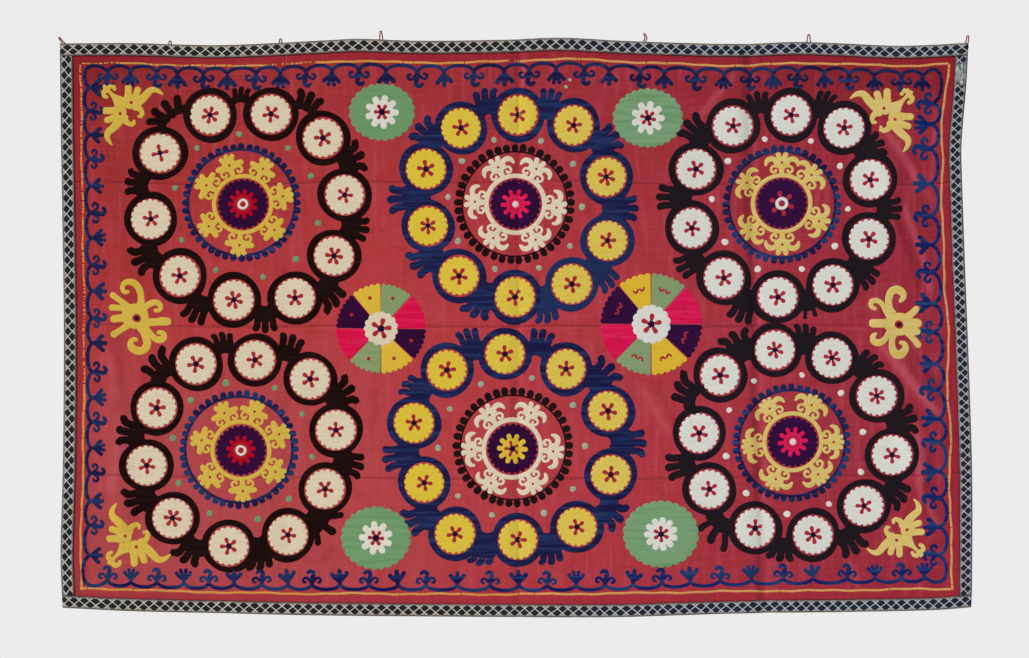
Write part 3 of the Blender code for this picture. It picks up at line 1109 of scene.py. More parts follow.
def lay_pinwheel(row, squiggle):
    x, z, radius, middle = row
    for start, end, colour in PINWHEEL_SECTORS:
        low = 90 - end + 0.35
        high = 90 - start - 0.35
        count = max(round((high - low) / 7.5), 3)
        depth = 2.5 if colour == "pink" else 5

        def rim(angle, low=low, high=high, count=count, depth=depth):
            share = (angle - low) / (high - low)
            return radius - depth * (1 - abs(math.sin(count * math.pi * share)) ** 0.65)

        sector = polar(rim, level(middle - 6), count * 5, 7, 0.8, 0, low, high, True)
        lay(colour, sector, x, z)
        size = 0.75 if colour == "pink" else 1
        for shape, mark_x, mark_z, turn in sector_mark(radius * 0.72, (low + high) / 2, squiggle):
            lay("rose", shape, x + mark_x, z + mark_z, turn, size)
    place = dict(x=x, z=z)
    pale = "cream" if x < 0 else "white"
    lay(pale, polar(scallops(middle, 4.5, 15), level(0), 60, 5, 1.05), **place)
    lay_all("rose", make_flower(5, 6, 27, 6, 13.5, 1.35, 1.05), turn=between(0, 70), **place)
    lay("dark", polar(scallops(10, 3, 5, 1, 1.3), level(0), 20, 1, 1.7, 1.05), **place)


for row in ROSETTES:
    lay_rosette(row)
for row in PINWHEELS:
    lay_pinwheel(row, row[0] > 0)

# Yellow corner and side motifs

# Half of a corner motif, from the notch at its inner end: side, outward, width of each point
CORNER_HALF = (
    ((0, 13, 36), (18, 11, 38), (36, 5, 30)),
    ((18, 16, 24), (33, 30, 18), (49, 46, 18)),
    ((26, 6, 20), (45, 13, 17), (63, 22, 18)),
    ((18, 0, 26), (40, -6, 23), (60, -7, 20), (76, -6, 18), (87, -14, 14), (91, -26, 9), (92, -38, 3)),
    ((14, -2, 28), (23, -14, 18), (23, -27, 13), (17, -36, 12), (10, -35, 10), (8, -28, 8)),
    ((0, 72, 14), (9, 77, 14), (16, 72, 12), (17, 64, 11), (11, 59, 10)),
)
CORNER_AXIS = (
    ((0, 8, 46), (0, 22, 42), (0, 34, 27), (0, 44, 17), (0, 54, 10), (0, 66, 9), (0, 76, 13), (0, 88, 12)),
)
# Corners: inner corner x and z, direction outward in degrees, size across, size outward
CORNERS = (
    (-971, -175, 135, 1.0),
    (928, -190, 45, 1.0),
    (-957, -1248, 225, 1.0),
    (960, -1233, 315, 0.94),
)

# Side motifs, from the dark dot: side, up, width; the right one is given as its mirror image
LEFT_SIDE = (
    ((8, 24, 26), (11.5, 45, 17), (8, 69, 17), (-3, 86, 17), (-18, 91, 16), (-30, 87, 14),
     (-35, 77, 12), (-32, 67, 11.5), (-24, 64, 11), (-18, 69, 9)),
    ((12, 18, 24), (24, 30, 16), (36, 37, 16), (50, 39.5, 15), (60, 31, 13), (58, 21, 11),
     (50, 18.5, 11), (43, 22, 11)),
    ((18, -10, 22), (35, -10, 20), (50, -9.5, 19), (65, -8, 22), (87, -9.5, 17)),
    ((16, -14, 20), (28, -28, 12), (37, -42, 15), (50, -53, 17), (64, -53, 18), (69, -44, 16),
     (62, -36, 13), (50, -36, 10)),
    ((4, -14, 26), (16, -32, 19), (23, -48, 19), (26.5, -66, 20), (16, -80, 20), (0, -81, 20),
     (-13, -72, 19), (-15, -60, 15), (-6, -52, 11), (3, -57, 9)),
    ((-14, 20, 22), (-36, 40, 15), (-66, 62, 16)),
    ((-18, 18, 20), (-38, 25, 15), (-70, 27, 17)),
    ((-18, 0, 22), (-40, 0, 19), (-66, -3, 19)),
    ((-14, -12, 22), (-36, -27, 15), (-63, -45, 19)),
)
RIGHT_SIDE = (
    ((12, 18, 26), (23, 40, 18), (26, 61, 18), (20, 81, 19), (6, 88, 20), (-8, 81, 19),
     (-12, 70, 15), (-6, 61, 12), (1, 59, 10)),
    ((18, 16, 22), (33, 36, 15), (41, 50, 13), (54, 60, 13), (68, 58, 14), (70, 47, 12),
     (62, 40, 10), (55, 41, 9)),
    ((28, 3, 24), (55, 3, 21), (76, 4, 24)),
    ((20, -14, 20), (32, -31, 15), (44, -43, 17), (60, -45, 17), (67, -34, 15), (62, -24, 12),
     (56, -25, 8)),
    ((8, -12, 26), (17, -35, 16), (18, -55, 18), (12, -71, 21), (-2, -75, 23), (-15, -64, 19),
     (-16, -52, 15), (-8, -45, 12), (0, -47, 9)),
    ((-16, 14, 22), (-35, 30, 17), (-50, 44, 18)),
    ((-20, 3, 26), (-58, 3, 23)),
    ((-20, -10, 22), (-56, -21, 16)),
    ((-14, -12, 20), (-36, -35, 15), (-53, -57, 17)),
)
# Side motifs: dark dot x and z, mirrored, size, and half width, half height, place of the body
SIDES = (
    (-948, -695.5, False, LEFT_SIDE, (34, 32, -4, 5)),
    (958, -711.5, True, RIGHT_SIDE, (38, 29, 0, 1)),
)
CORNER_EYE = (19.5, 7)


def lay_motif(strokes, x, z, turn, size, mirrored):
    for points in strokes:
        lay("yellow", stroke(points, 0.78 + between(-0.02, 0.02)), x, z, turn, size, mirrored, 0.5)


SMALL_DOT = polar(level(4.6), level(0), 14, 1, 1.15, 0.78)
for x, z, outward, size in CORNERS:
    turn = outward - 90
    lay_motif(CORNER_AXIS, x, z, turn, size, False)
    for mirrored in (False, True):
        lay_motif(CORNER_HALF, x, z, turn + between(-2, 2), size * between(0.96, 1.04), mirrored)
    for side in (-1, 1):
        angle = math.radians(turn)
        across = side * CORNER_EYE[0] * size
        out = CORNER_EYE[1] * size
        lay("rose", SMALL_DOT, x + across * math.cos(angle) - out * math.sin(angle),
            z + across * math.sin(angle) + out * math.cos(angle))
for x, z, mirrored, strokes, body in SIDES:
    lay_motif(strokes, x, z, 0, 1, mirrored)
    shape = polar(oval(body[0], body[1]), level(0), 36, 4, 0.81)
    lay("yellow", shape, x + (-body[2] if mirrored else body[2]), z + body[3], dye=0.5)
    lay("rose", polar(wavy(11.3, 0.6, 1), level(0), 24, 1, 1.15, 0.8), x, z)
    lay("dark", polar(level(6.6), level(0), 18, 1, 1.35, 0.8), x, z)
for x, z in ((135, -100), (125, -117.5)):
    lay("sage", DOT, x, z, 0, 0.55)

# Vine border

EDGES = {
    "top": (TOP_EDGE, -1), "bottom": (BOTTOM_EDGE, 1), "left": (LEFT_EDGE, 1), "right": (RIGHT_EDGE, -1),
}
INWARD_TURN = {"top": 180, "bottom": 0, "left": -90, "right": 90}


def beside_edge(side, along, distance):
    """Place in mm at a distance inward from one edge of the cloth."""
    rows, sign = EDGES[side]
    edge = float(read_curve(rows, along)) + sign * distance
    return (along, edge) if side in ("top", "bottom") else (edge, along)


def tulip_shapes(petals):
    shapes = [stroke([(0, -4, 10), (0, 6, 12), (0, 17, 25), (0, 30, 32)], 0.74, step=4)]
    for tip_x, tip_z, width in petals:
        points = [(0, 8, 11), (tip_x * 0.6, 8 + (tip_z - 8) * 0.5, width * 0.8), (tip_x, tip_z, width)]
        shapes.append(stroke(points, 0.76))
    return shapes


TULIPS = (
    tulip_shapes(((-23, 32, 14), (0, 41, 13), (22, 34, 13))),
    tulip_shapes(((-22, 31, 12), (-8, 40, 11), (8, 40, 11), (22, 31, 12))),
    tulip_shapes(((-20, 36, 13), (2, 42, 13), (24, 30, 14))),
)
HORN = curl(17, 10.5, 12.5, 8, 9, 160, 275, [(0, 6, 9)])
CURL_STEM = ((0, -4, 11), (0, 8, 12), (2, 20, 13), (5, 30, 12), (0, 37, 12), (-9, 36, 11), (-14, 29, 8))
CURL_SHAPES = (
    stroke(CURL_STEM, 0.74),
    stroke(HORN, 0.75, step=4),
    stroke(flip(HORN), 0.75, step=4),
)


VINE_THREAD = {"top": "blue", "left": "blue", "right": "navy", "bottom": "navy"}


def vine_arc(thread, start, end, outward, bulge):
    """Arc of the vine from node to node, swelling toward the cloth's edge."""
    points = []
    for step in range(9):
        turn = math.pi * step / 8
        share = 0.55 * (1 - math.cos(turn)) / 2 + 0.45 * step / 8
        swell = bulge * math.sin(turn) ** 0.8
        points.append((
            start[0] + (end[0] - start[0]) * share + outward[0] * swell,
            start[1] + (end[1] - start[1]) * share + outward[1] * swell,
            VINE_WIDTH,
        ))
    lay(thread, stroke(points, 0.72))


def lay_vine_side(side, nodes, distances, first_is_curl, outward):
    places = [beside_edge(side, node, float(read_curve(distances, node))) for node in nodes]
    for start, end in zip(places, places[1:]):
        vine_arc(VINE_THREAD[side], start, end, outward, VINE_BULGE[side])
    for index, place in enumerate(places):
        is_curl = (index % 2 == 0) == first_is_curl
        where = dict(
            x=place[0], z=place[1], turn=INWARD_TURN[side] + between(-4, 4), size=between(*VINE_SIZES[side]),
            dye=chance.random(),
        )
        if is_curl:
            lay_all(VINE_THREAD[side], CURL_SHAPES, **where)
        else:
            lay_all(VINE_THREAD[side], chance.choice(TULIPS), mirrored=chance.random() < 0.4, **where)
    return places


def vine_corner(thread, flat_end, upright_end, corner):
    """Turn of the vine round a corner, from a node on a level side to one on an upright side."""
    over_x = corner[0] - flat_end[0]
    over_z = corner[1] - flat_end[1]
    down_x = corner[0] - upright_end[0]
    down_z = corner[1] - upright_end[1]
    points = [
        (*flat_end, VINE_WIDTH),
        (flat_end[0] + 0.26 * over_x, flat_end[1] + 0.72 * over_z, VINE_WIDTH),
        (flat_end[0] + 0.6 * over_x, corner[1], VINE_WIDTH),
        (corner[0] - 0.1 * over_x, corner[1] - 0.12 * down_z, VINE_WIDTH),
        (corner[0], upright_end[1] + 0.55 * down_z, VINE_WIDTH),
        (upright_end[0] + 0.72 * down_x, upright_end[1] + 0.2 * down_z, VINE_WIDTH),
        (*upright_end, VINE_WIDTH),
    ]
    lay(thread, stroke(points, 0.72))


top = lay_vine_side("top", TOP_NODES, TOP_VINE, True, (0, 1))
left = lay_vine_side("left", LEFT_NODES, LEFT_VINE, False, (-1, 0))
right = lay_vine_side("right", RIGHT_NODES, RIGHT_VINE, True, (1, 0))
bottom = lay_vine_side("bottom", BOTTOM_NODES, BOTTOM_VINE, True, (0, -1))
vine_corner("blue", top[0], left[0], (left[0][0] - 11, top[0][1] + 15))
vine_corner("blue", top[-1], right[0], (right[0][0] + 22, top[-1][1] + 18))
vine_corner("navy", bottom[0], left[-1], (left[-1][0] - 16, bottom[0][1] - 14))
vine_corner("navy", bottom[-1], right[-1], (right[-1][0] + 20, bottom[-1][1] - 14))

# Yellow line of short cross stitches, and the stitches of the seams


def stitch_shape(length, width, rise):
    """One short stitch: a ridge across the line, low at both ends."""
    def place(column, row):
        share = (0, 1, 0)[column] * (0, 0.9, 0.9, 0)[row]
        height = CLOTH_FACE - EDGE_SUNK + (rise + EDGE_SUNK) * share
        return (column / 2 - 0.5) * width, ((0, 0.22, 0.78, 1)[row] - 0.5) * length, height
    return grid_shape(2, 3, place)


LINE_STITCHES = [stitch_shape(STITCH_LENGTH * share, STITCH_STEP * 1.35, 0.9) for share in (1, 0.85, 0.6)]
SEAM_STITCH = stitch_shape(3.4, 1.3, 0.3)


def wear_at(side, along):
    for worn_side, start, end, left_over, length in WEAR:
        if side == worn_side and start <= along <= end:
            return left_over, length
    return 0.985, 1.0


def lay_line(side, distances, start, end):
    """Row of short stitches beside one edge; stretches that are rubbed thin have gaps and shorter stitches.
    """
    count = round((end - start) / STITCH_STEP)
    upright = side in ("left", "right")
    for index in range(count):
        along = start + STITCH_STEP * index
        left_over, length = wear_at(side, along)
        wander = 1.2 * math.sin(along / 37) + 0.7 * math.sin(along / 11.3)
        turn = (90 if upright else 0) + between(-9, 9)
        if chance.random() > left_over:
            continue
        distance = float(read_curve(distances, along)) + wander
        x, z = beside_edge(side, along, distance)
        shape = LINE_STITCHES[0 if length > 0.9 else 1 if length > 0.7 else 2]
        lay("line", shape, x, z, turn, between(0.92, 1.06))


lay_line("top", TOP_LINE, -1084, 1082)
lay_line("bottom", BOTTOM_LINE, -1088, 1088)
lay_line("left", LEFT_LINE, -1374, -62)
lay_line("right", RIGHT_LINE, -1374, -60)

SEAM_STITCH_STEP = 4.2
SEAM_RIDGE_WIDTH = 2.1
for seam in SEAM_DROPS:
    reach = CLOTH_WIDTH / 2 - TAPE_WIDTH
    ridge = []
    for across in np.linspace(-reach, reach, 30):
        x, z = on_cloth(across, seam)
        ridge.append((float(x) / MM, float(z) / MM, SEAM_RIDGE_WIDTH))
    lay("seam", stroke(ridge, 0.05, step=9))
for seam in SEAM_DROPS:
    count = round((CLOTH_WIDTH - 2 * TAPE_WIDTH) / MM / SEAM_STITCH_STEP)
    for index in range(count):
        across = (-CLOTH_WIDTH / 2 + TAPE_WIDTH) / MM + SEAM_STITCH_STEP * (index + 0.5)
        x, z = on_cloth(across * MM, seam)
        lay("seam", SEAM_STITCH, x / MM, float(z) / MM, 24 + between(-6, 6), between(0.85, 1.1))

# The thread work hung on the cloth's folds, one piece for each thread


def hang(mesh):
    """Move every point of a flat mesh onto the folds of the hung cloth."""
    places = np.empty(len(mesh.vertices) * 3)
    mesh.vertices.foreach_get("co", places)
    places = places.reshape(-1, 3)
    places[:, 1] += relief(places[:, 0], places[:, 2])
    mesh.vertices.foreach_set("co", places.ravel())
    mesh.update()


def add_piece(name, data, material):
    piece = bpy.data.objects.new(name, data)
    bpy.context.scene.collection.objects.link(piece)
    data.materials.append(material)
    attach(piece, "root")
    return piece


for name, work in families.items():
    mesh = bpy.data.meshes.new("thread_" + name)
    work.to_mesh(mesh)
    work.free()
    hang(mesh)
    mesh.shade_smooth()
    lots = mesh.attributes.new("dye_lot", "FLOAT", "POINT")
    dyes = [dye for dye, points in dye_lots[name]]
    point_counts = [points for dye, points in dye_lots[name]]
    lots.data.foreach_set("value", np.repeat(dyes, point_counts))
    piece = add_piece("thread_" + name, mesh, thread_material("thread_" + name, *THREADS[name]))

# Ground cloth


def make_ground_material():
    """Red cotton: faded in the middle, deeper red along the edges, mottled and streaked, with painted warm
    light at the left, cooler light at the right, and painted highlight and shade on the folds.
    """
    material, nodes, shader = new_material("red_cotton")
    place = nodes.place()
    x, _, z = nodes.split(place)
    # Warmer red at the left and cooler red at the right: painted warm light on the left, cooler light on the
    # right
    right_side = nodes.ramp(x, -1.0, 1.1)
    faded = nodes.mix(right_side, linear(183, 57, 58), linear(172, 52, 67))
    deep = nodes.mix(right_side, linear(154, 42, 42), linear(148, 35, 54))
    away_x = nodes.math("DIVIDE", nodes.math("ADD", x, 0.22), 1.1)
    away_z = nodes.math("DIVIDE", nodes.math("ADD", z, 0.9), 0.86)
    away = nodes.math("SQRT", nodes.math(
        "ADD", nodes.math("MULTIPLY", away_x, away_x), nodes.math("MULTIPLY", away_z, away_z),
    ))
    blotch = nodes.noise(place, 3.2, (1, 1, 1), 4, 0.55)
    fade = nodes.ramp(nodes.math("ADD", away, nodes.math("MULTIPLY", blotch, 0.5)), 0.5, 1.5, 1, 0)
    colour = nodes.mix(fade, deep, faded)
    washed = nodes.math("MULTIPLY", nodes.ramp(z, -0.6, -1.05), nodes.ramp(x, 0.2, -0.8))
    colour = nodes.mix(nodes.math("MULTIPLY", washed, 0.7), colour, linear(172, 72, 76))
    streak = nodes.noise(place, 1, (58, 1, 7), 3, 0.6)
    colour = nodes.mix(nodes.ramp(streak, 0.45, 0.75, 0, 0.46), colour, linear(188, 76, 92))
    cross_streak = nodes.noise(place, 1, (10, 1, 150), 3, 0.6)
    colour = nodes.mix(nodes.ramp(cross_streak, 0.45, 0.75, 0, 0.24), colour, linear(190, 78, 84))
    rust = nodes.noise(place, 1, (24, 1, 16), 3, 0.6)
    colour = nodes.mix(nodes.ramp(rust, 0.5, 0.75, 0, 0.45), colour, linear(152, 38, 36))
    from_top = nodes.math("MULTIPLY", z, -1)
    from_bottom = nodes.math("ADD", z, 1.435)
    from_side = nodes.math("SUBTRACT", 1.13, nodes.math("ABSOLUTE", x))
    nearest = nodes.math("MINIMUM", nodes.math("MINIMUM", from_top, from_bottom), from_side)
    at_corner = nodes.math("MULTIPLY", nodes.ramp(z, -0.24, -0.06), nodes.ramp(away_x, 0.45, 1.0))
    far_side = nodes.math("MULTIPLY", nodes.ramp(z, -0.24, -0.06), nodes.ramp(away_x, -0.45, -0.8))
    corners = nodes.math("MAXIMUM", at_corner, far_side)
    colour = nodes.mix(nodes.math("MULTIPLY", corners, 0.75), colour, linear(124, 26, 32))
    # Painted highlight and shade of the folds, with some fading: paler pink on the sides facing the light,
    # deeper red on the sides turned away
    wear_and_fold_shade = nodes.add("ShaderNodeAttribute", attribute_name="wear_and_fold_shade", attribute_type="GEOMETRY").outputs["Fac"]
    colour = nodes.mix(nodes.ramp(wear_and_fold_shade, 0, 1, 0, 0.5, False), colour, linear(208, 94, 112))
    colour = nodes.mix(nodes.ramp(wear_and_fold_shade, 0, -1, 0, 0.55, False), colour, linear(92, 14, 28))
    border = nodes.ramp(nearest, 0.045, 0.075, 0.6, 0)
    hem = nodes.mix(nodes.ramp(z, -1.2, -1.4), linear(150, 26, 44), linear(158, 36, 50))
    colour = nodes.mix(border, colour, hem)
    weave = use_group(nodes, PLAIN_WEAVE)
    light = nodes.math("ADD", nodes.math("MULTIPLY", weave.outputs["Slubs"], 0.28), 1.0)
    shade = nodes.add("ShaderNodeVectorMath", operation="SCALE")
    nodes.put(shade.inputs[0], colour)
    nodes.put(shade.inputs["Scale"], light)
    nodes.put(shader.inputs["Base Color"], shade.outputs[0])
    shader.inputs["Roughness"].default_value = 0.88
    shader.inputs["Sheen Weight"].default_value = 0.08
    add_bump(nodes, shader, weave.outputs["Height"], 0.0004, 0.6)
    return material


def hung_sheet(name, columns, rows, across_range, drop_range, lift):
    """Thin sheet on the cloth's folds, between two places across and two places down."""
    sheet = bmesh.new()
    sheet.loops.layers.uv.new("UVMap")
    bmesh.ops.create_grid(sheet, x_segments=columns, y_segments=rows, size=0.5, calc_uvs=True)
    bmesh.ops.triangulate(sheet, faces=sheet.faces, quad_method="FIXED")
    mesh = bpy.data.meshes.new(name)
    sheet.to_mesh(mesh)
    sheet.free()
    places = np.empty(len(mesh.vertices) * 3)
    mesh.vertices.foreach_get("co", places)
    places = places.reshape(-1, 3)
    across = across_range[0] + (across_range[1] - across_range[0]) * (places[:, 0] + 0.5)
    drop = drop_range[0] + (drop_range[1] - drop_range[0]) * (0.5 - places[:, 1])
    x, z = on_cloth(across, drop)
    places[:, 0] = x
    places[:, 1] = relief(x, z) - lift
    places[:, 2] = z
    mesh.vertices.foreach_set("co", places.ravel())
    mesh.shade_smooth()
    return mesh


# How far a painted line of fold highlight and shade wanders to each side, and how long its ends take to die
# away
FOLD_WANDER = 4
FOLD_WANDER_LENGTH = 38
FOLD_TAPER = 45


def mark_fold_shade(mesh):
    """Write the painted highlight and shade of the folds, with their fading, at each point of a hung sheet.
    """
    places = np.empty(len(mesh.vertices) * 3)
    mesh.vertices.foreach_get("co", places)
    places = places.reshape(-1, 3) / MM
    wander = FOLD_WANDER * np.sin(places[:, 2] / FOLD_WANDER_LENGTH)
    fading_and_fold_shade = ridges(FOLD_SHADE_LINES, places[:, 0] + wander, places[:, 2], FOLD_TAPER)
    mesh.attributes.new("wear_and_fold_shade", "FLOAT", "POINT").data.foreach_set("value", fading_and_fold_shade)


def add_thickness(piece, thickness):
    solidify = piece.modifiers.new("Cloth thickness", "SOLIDIFY")
    solidify.thickness = thickness
    solidify.offset = 0


PANEL_CELL_ACROSS = 0.005
PANEL_CELL_DOWN = 0.009
ground = make_ground_material()
half_width = CLOTH_WIDTH / 2
borders = (0, *SEAM_DROPS, CLOTH_DROP)
for index, (start, end) in enumerate(zip(borders, borders[1:]), start=1):
    drops = (start + (GAP / 2 if index > 1 else 0), end - (GAP / 2 if index < 4 else 0))
    rows = round((end - start) / PANEL_CELL_DOWN)
    columns = round(CLOTH_WIDTH / PANEL_CELL_ACROSS)
    name = "ground_strip_%d" % index
    mesh = hung_sheet(name, columns, rows, (-half_width, half_width), drops, 0)
    mark_fold_shade(mesh)
    strip = add_piece(name, mesh, ground)
    add_thickness(strip, CLOTH_THICKNESS)
    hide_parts("panel_%d" % index)

# Woven tape

# Width of the lattice's parts across the tape, and of one diamond along the tape
OUTER_SELVAGE = 4.2
INNER_SELVAGE = 27.2
SHADOW_AND_STITCH_LINE = 30.6
DIAMOND_HEIGHT = 21.6
FIRST_ROW = 10.4
PALE_LINE = 0.058
PALE_LINE_SOFTNESS = 0.025
TAPE_PITCH = {"top": 27.5, "bottom": 26.5, "left": 26.0, "right": 22.0}
# Frayed place on the right tape: x, z, half width, half height, in metres
FRAYED = (1.112, -0.086, 0.022, 0.031)


def make_tape_material():
    """Woven lattice: two rows of near-black diamonds between crossing pale threads, with painted warm light
    at the left, cooler light at the right, and a painted shadow with stitching along the inner edge.
    """
    material, nodes, shader = new_material("woven_tape")
    uv = nodes.add("ShaderNodeUVMap", uv_map="UVMap").outputs["UV"]
    place = nodes.place()
    along, across, _ = nodes.split(uv)
    drift = nodes.noise(place, 9, (1, 1, 1), 2)
    along = nodes.math("ADD", along, nodes.math("MULTIPLY", drift, 0.6))
    ragged = nodes.noise(place, 420, (1, 1, 1), 1)
    along = nodes.math("ADD", along, nodes.math("MULTIPLY", ragged, 0.05))
    height = nodes.math("DIVIDE", nodes.math("SUBTRACT", across, FIRST_ROW), DIAMOND_HEIGHT)
    rising = nodes.math("ADD", nodes.math("ADD", along, height), 0.5)
    falling = nodes.math("ADD", nodes.math("SUBTRACT", along, height), 0.5)
    row = nodes.math("SUBTRACT", nodes.math("FLOOR", rising), nodes.math("FLOOR", falling))
    inside = nodes.math("COMPARE", row, 0.5)
    inside.node.inputs[2].default_value = 0.6
    near_rising = nodes.math("PINGPONG", rising, 0.5)
    near_falling = nodes.math("PINGPONG", falling, 0.5)
    nearest = nodes.math("MINIMUM", near_rising, near_falling)
    on_line = nodes.ramp(nearest, PALE_LINE - PALE_LINE_SOFTNESS, PALE_LINE + PALE_LINE_SOFTNESS, 1, 0)
    small = nodes.ramp(nearest, 0.2, 0.28, 0, 1)
    wear_and_fold_shade = nodes.noise(place, 60, (1, 1, 1), 3)
    x = nodes.split(place)[0]
    # Warmer colours at the left and cooler at the right: painted warm light on the left, cooler light on the
    # right
    side = nodes.ramp(x, -0.3, 0.6)
    dark = nodes.mix(side, linear(33, 34, 38), linear(30, 38, 50))
    pale = nodes.mix(side, linear(204, 200, 188), linear(186, 190, 196))
    grey = nodes.mix(side, linear(150, 142, 132), linear(138, 136, 138))
    outer_part = nodes.mix(small, grey, linear(112, 106, 102))
    colour = nodes.mix(inside, outer_part, dark)
    colour = nodes.mix(on_line, colour, pale)
    selvage = nodes.mix(nodes.ramp(wear_and_fold_shade, 0.35, 0.65), linear(140, 130, 122), linear(106, 94, 90))
    at_outer = nodes.ramp(across, OUTER_SELVAGE - 0.5, OUTER_SELVAGE + 0.5, 1, 0)
    at_inner = nodes.ramp(across, INNER_SELVAGE - 0.5, INNER_SELVAGE + 0.5, 0, 1)
    colour = nodes.mix(nodes.math("MAXIMUM", at_outer, at_inner), colour, selvage)
    # Dark line along the tape's inner edge: painted shadow where the tape meets the cloth, with its stitching
    colour = nodes.mix(nodes.ramp(across, SHADOW_AND_STITCH_LINE - 0.3, SHADOW_AND_STITCH_LINE + 0.3), colour, linear(42, 30, 38))
    colour = nodes.mix(nodes.ramp(across, 0.9, 1.6, 1, 0), colour, linear(78, 62, 60))
    off_x = nodes.math("DIVIDE", nodes.math("SUBTRACT", x, FRAYED[0]), FRAYED[2])
    off_z = nodes.math("DIVIDE", nodes.math("SUBTRACT", nodes.split(place)[2], FRAYED[1]), FRAYED[3])
    off = nodes.math("SQRT", nodes.math(
        "ADD", nodes.math("MULTIPLY", off_x, off_x), nodes.math("MULTIPLY", off_z, off_z),
    ))
    loose = nodes.noise(place, 1, (190, 1, 60), 3, 0.6)
    frayed = nodes.ramp(nodes.math("ADD", off, nodes.math("MULTIPLY", loose, 0.8)), 1.15, 1.45, 1, 0)
    on_tape = nodes.ramp(across, OUTER_SELVAGE, OUTER_SELVAGE + 1.5)
    on_tape = nodes.math("MULTIPLY", on_tape, nodes.ramp(across, INNER_SELVAGE, INNER_SELVAGE + 1.5, 1, 0))
    floss = nodes.mix(nodes.ramp(loose, 0.35, 0.65), linear(52, 64, 74), linear(184, 192, 184))
    colour = nodes.mix(nodes.math("MULTIPLY", frayed, on_tape), colour, floss)
    light = nodes.math("ADD", nodes.math("MULTIPLY", wear_and_fold_shade, 0.3), 0.85)
    shade = nodes.add("ShaderNodeVectorMath", operation="SCALE")
    nodes.put(shade.inputs[0], colour)
    nodes.put(shade.inputs["Scale"], light)
    nodes.put(shader.inputs["Base Color"], shade.outputs[0])
    shader.inputs["Roughness"].default_value = 0.85
    weave = use_group(nodes, PLAIN_WEAVE, Thread_step=0.0011)
    raised = nodes.math("ADD", weave.outputs["Height"], nodes.math("MULTIPLY", on_line, 1.2))
    add_bump(nodes, shader, raised, 0.0004, 0.7)
    return material


def set_tape_uv(mesh, upright, length, pitch, flipped):
    """UV of a tape: cells of the lattice along it, and mm across it from its outer edge."""
    layer = mesh.uv_layers["UVMap"]
    values = np.empty(len(layer.data) * 2)
    layer.data.foreach_get("uv", values)
    values = values.reshape(-1, 2)
    if upright:
        along = values[:, 1] * length / pitch
        across = values[:, 0] * TAPE_WIDTH / MM
    else:
        along = values[:, 0] * length / pitch
        across = (1 - values[:, 1]) * TAPE_WIDTH / MM
    if flipped:
        across = TAPE_WIDTH / MM - across
    layer.data.foreach_set("uv", np.stack((along, across), axis=1).ravel())


tape_material = make_tape_material()
tape_lift = CLOTH_THICKNESS / 2 + GAP + TAPE_THICKNESS / 2
inner_half = half_width - TAPE_WIDTH
side_drops = (TAPE_WIDTH + GAP, CLOTH_DROP - TAPE_WIDTH - GAP)
side_length = side_drops[1] - side_drops[0]
TAPE_CELL = 0.006
TAPE_CELLS_ACROSS = 6
LEVEL_CELLS = round(CLOTH_WIDTH / TAPE_CELL)
SIDE_CELLS = round(side_length / TAPE_CELL)
# Tapes: name, cells across and down, range across, range down, upright, length, outer edge last
TAPES = (
    ("top", LEVEL_CELLS, TAPE_CELLS_ACROSS, (-half_width, half_width),
     (0, TAPE_WIDTH), False, CLOTH_WIDTH, False),
    ("bottom", LEVEL_CELLS, TAPE_CELLS_ACROSS, (-half_width, half_width),
     (CLOTH_DROP - TAPE_WIDTH, CLOTH_DROP), False, CLOTH_WIDTH, True),
    ("left", TAPE_CELLS_ACROSS, SIDE_CELLS, (-half_width, -inner_half), side_drops, True, side_length, False),
    ("right", TAPE_CELLS_ACROSS, SIDE_CELLS, (inner_half, half_width), side_drops, True, side_length, True),
)
for side, columns, rows, across_range, drop_range, upright, length, flipped in TAPES:
    name = "edging_tape_" + side
    mesh = hung_sheet(name, columns, rows, across_range, drop_range, tape_lift)
    set_tape_uv(mesh, upright, length / MM, TAPE_PITCH[side], flipped)
    tape = add_piece(name, mesh, tape_material)
    add_thickness(tape, TAPE_THICKNESS)
    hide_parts("tape_" + side)

# Hanging loops of two-ply cord

TURN_STEPS = 10
PLY_RADIUS = 0.95
PLY_OFFSET = 0.8
TWIST_LENGTH = 5.5


def loop_path(loop):
    """Centre line of one loop in mm, up one leg, round the tip and down the other leg."""
    place, edge_width, tip_width, height, lean, bow = loop
    radius = CORD_RADIUS / MM
    hidden = CORD_HIDDEN_LENGTH / MM
    top_z = float(read_curve(TOP_EDGE, place))
    edge_half = edge_width / 2 - radius
    tip_half = tip_width / 2 - radius
    turn_centre = height - radius - tip_half
    leg = [(-edge_half, -hidden), (-edge_half, -hidden / 2), (-edge_half, 0)]
    leg.append((-(edge_half + tip_half) / 2, turn_centre / 2))
    outline = list(leg)
    for step in range(TURN_STEPS + 1):
        angle = math.pi * (1 - step / TURN_STEPS)
        outline.append((tip_half * math.cos(angle), turn_centre + tip_half * math.sin(angle)))
    outline += [(-across, up) for across, up in reversed(leg)]
    points = []
    for across, up in outline:
        share = max(up, 0) / height
        x = place + across + lean * share + bow * math.sin(math.pi * share)
        z = top_z + up
        back = float(relief(x * MM, min(z, top_z) * MM)) / MM
        points.append(Vector((x, back + CLOTH_FACE + GAP / MM + radius, z)))
    return points


def smooth_points(points, step):
    """Even points on a smooth curve through the given points."""
    fine = np.linspace(0, len(points) - 1, 30 * len(points))
    axes = [
        read_curve([(index, point[axis]) for index, point in enumerate(points)], fine)
        for axis in range(3)
    ]
    dense = np.stack(axes, axis=1)
    length = np.concatenate(((0,), np.cumsum(np.linalg.norm(np.diff(dense, axis=0), axis=1))))
    count = max(round(length[-1] / step), 4)
    at = np.linspace(0, length[-1], count + 1)
    return [Vector([float(np.interp(value, length, dense[:, axis])) for axis in range(3)]) for value in at]


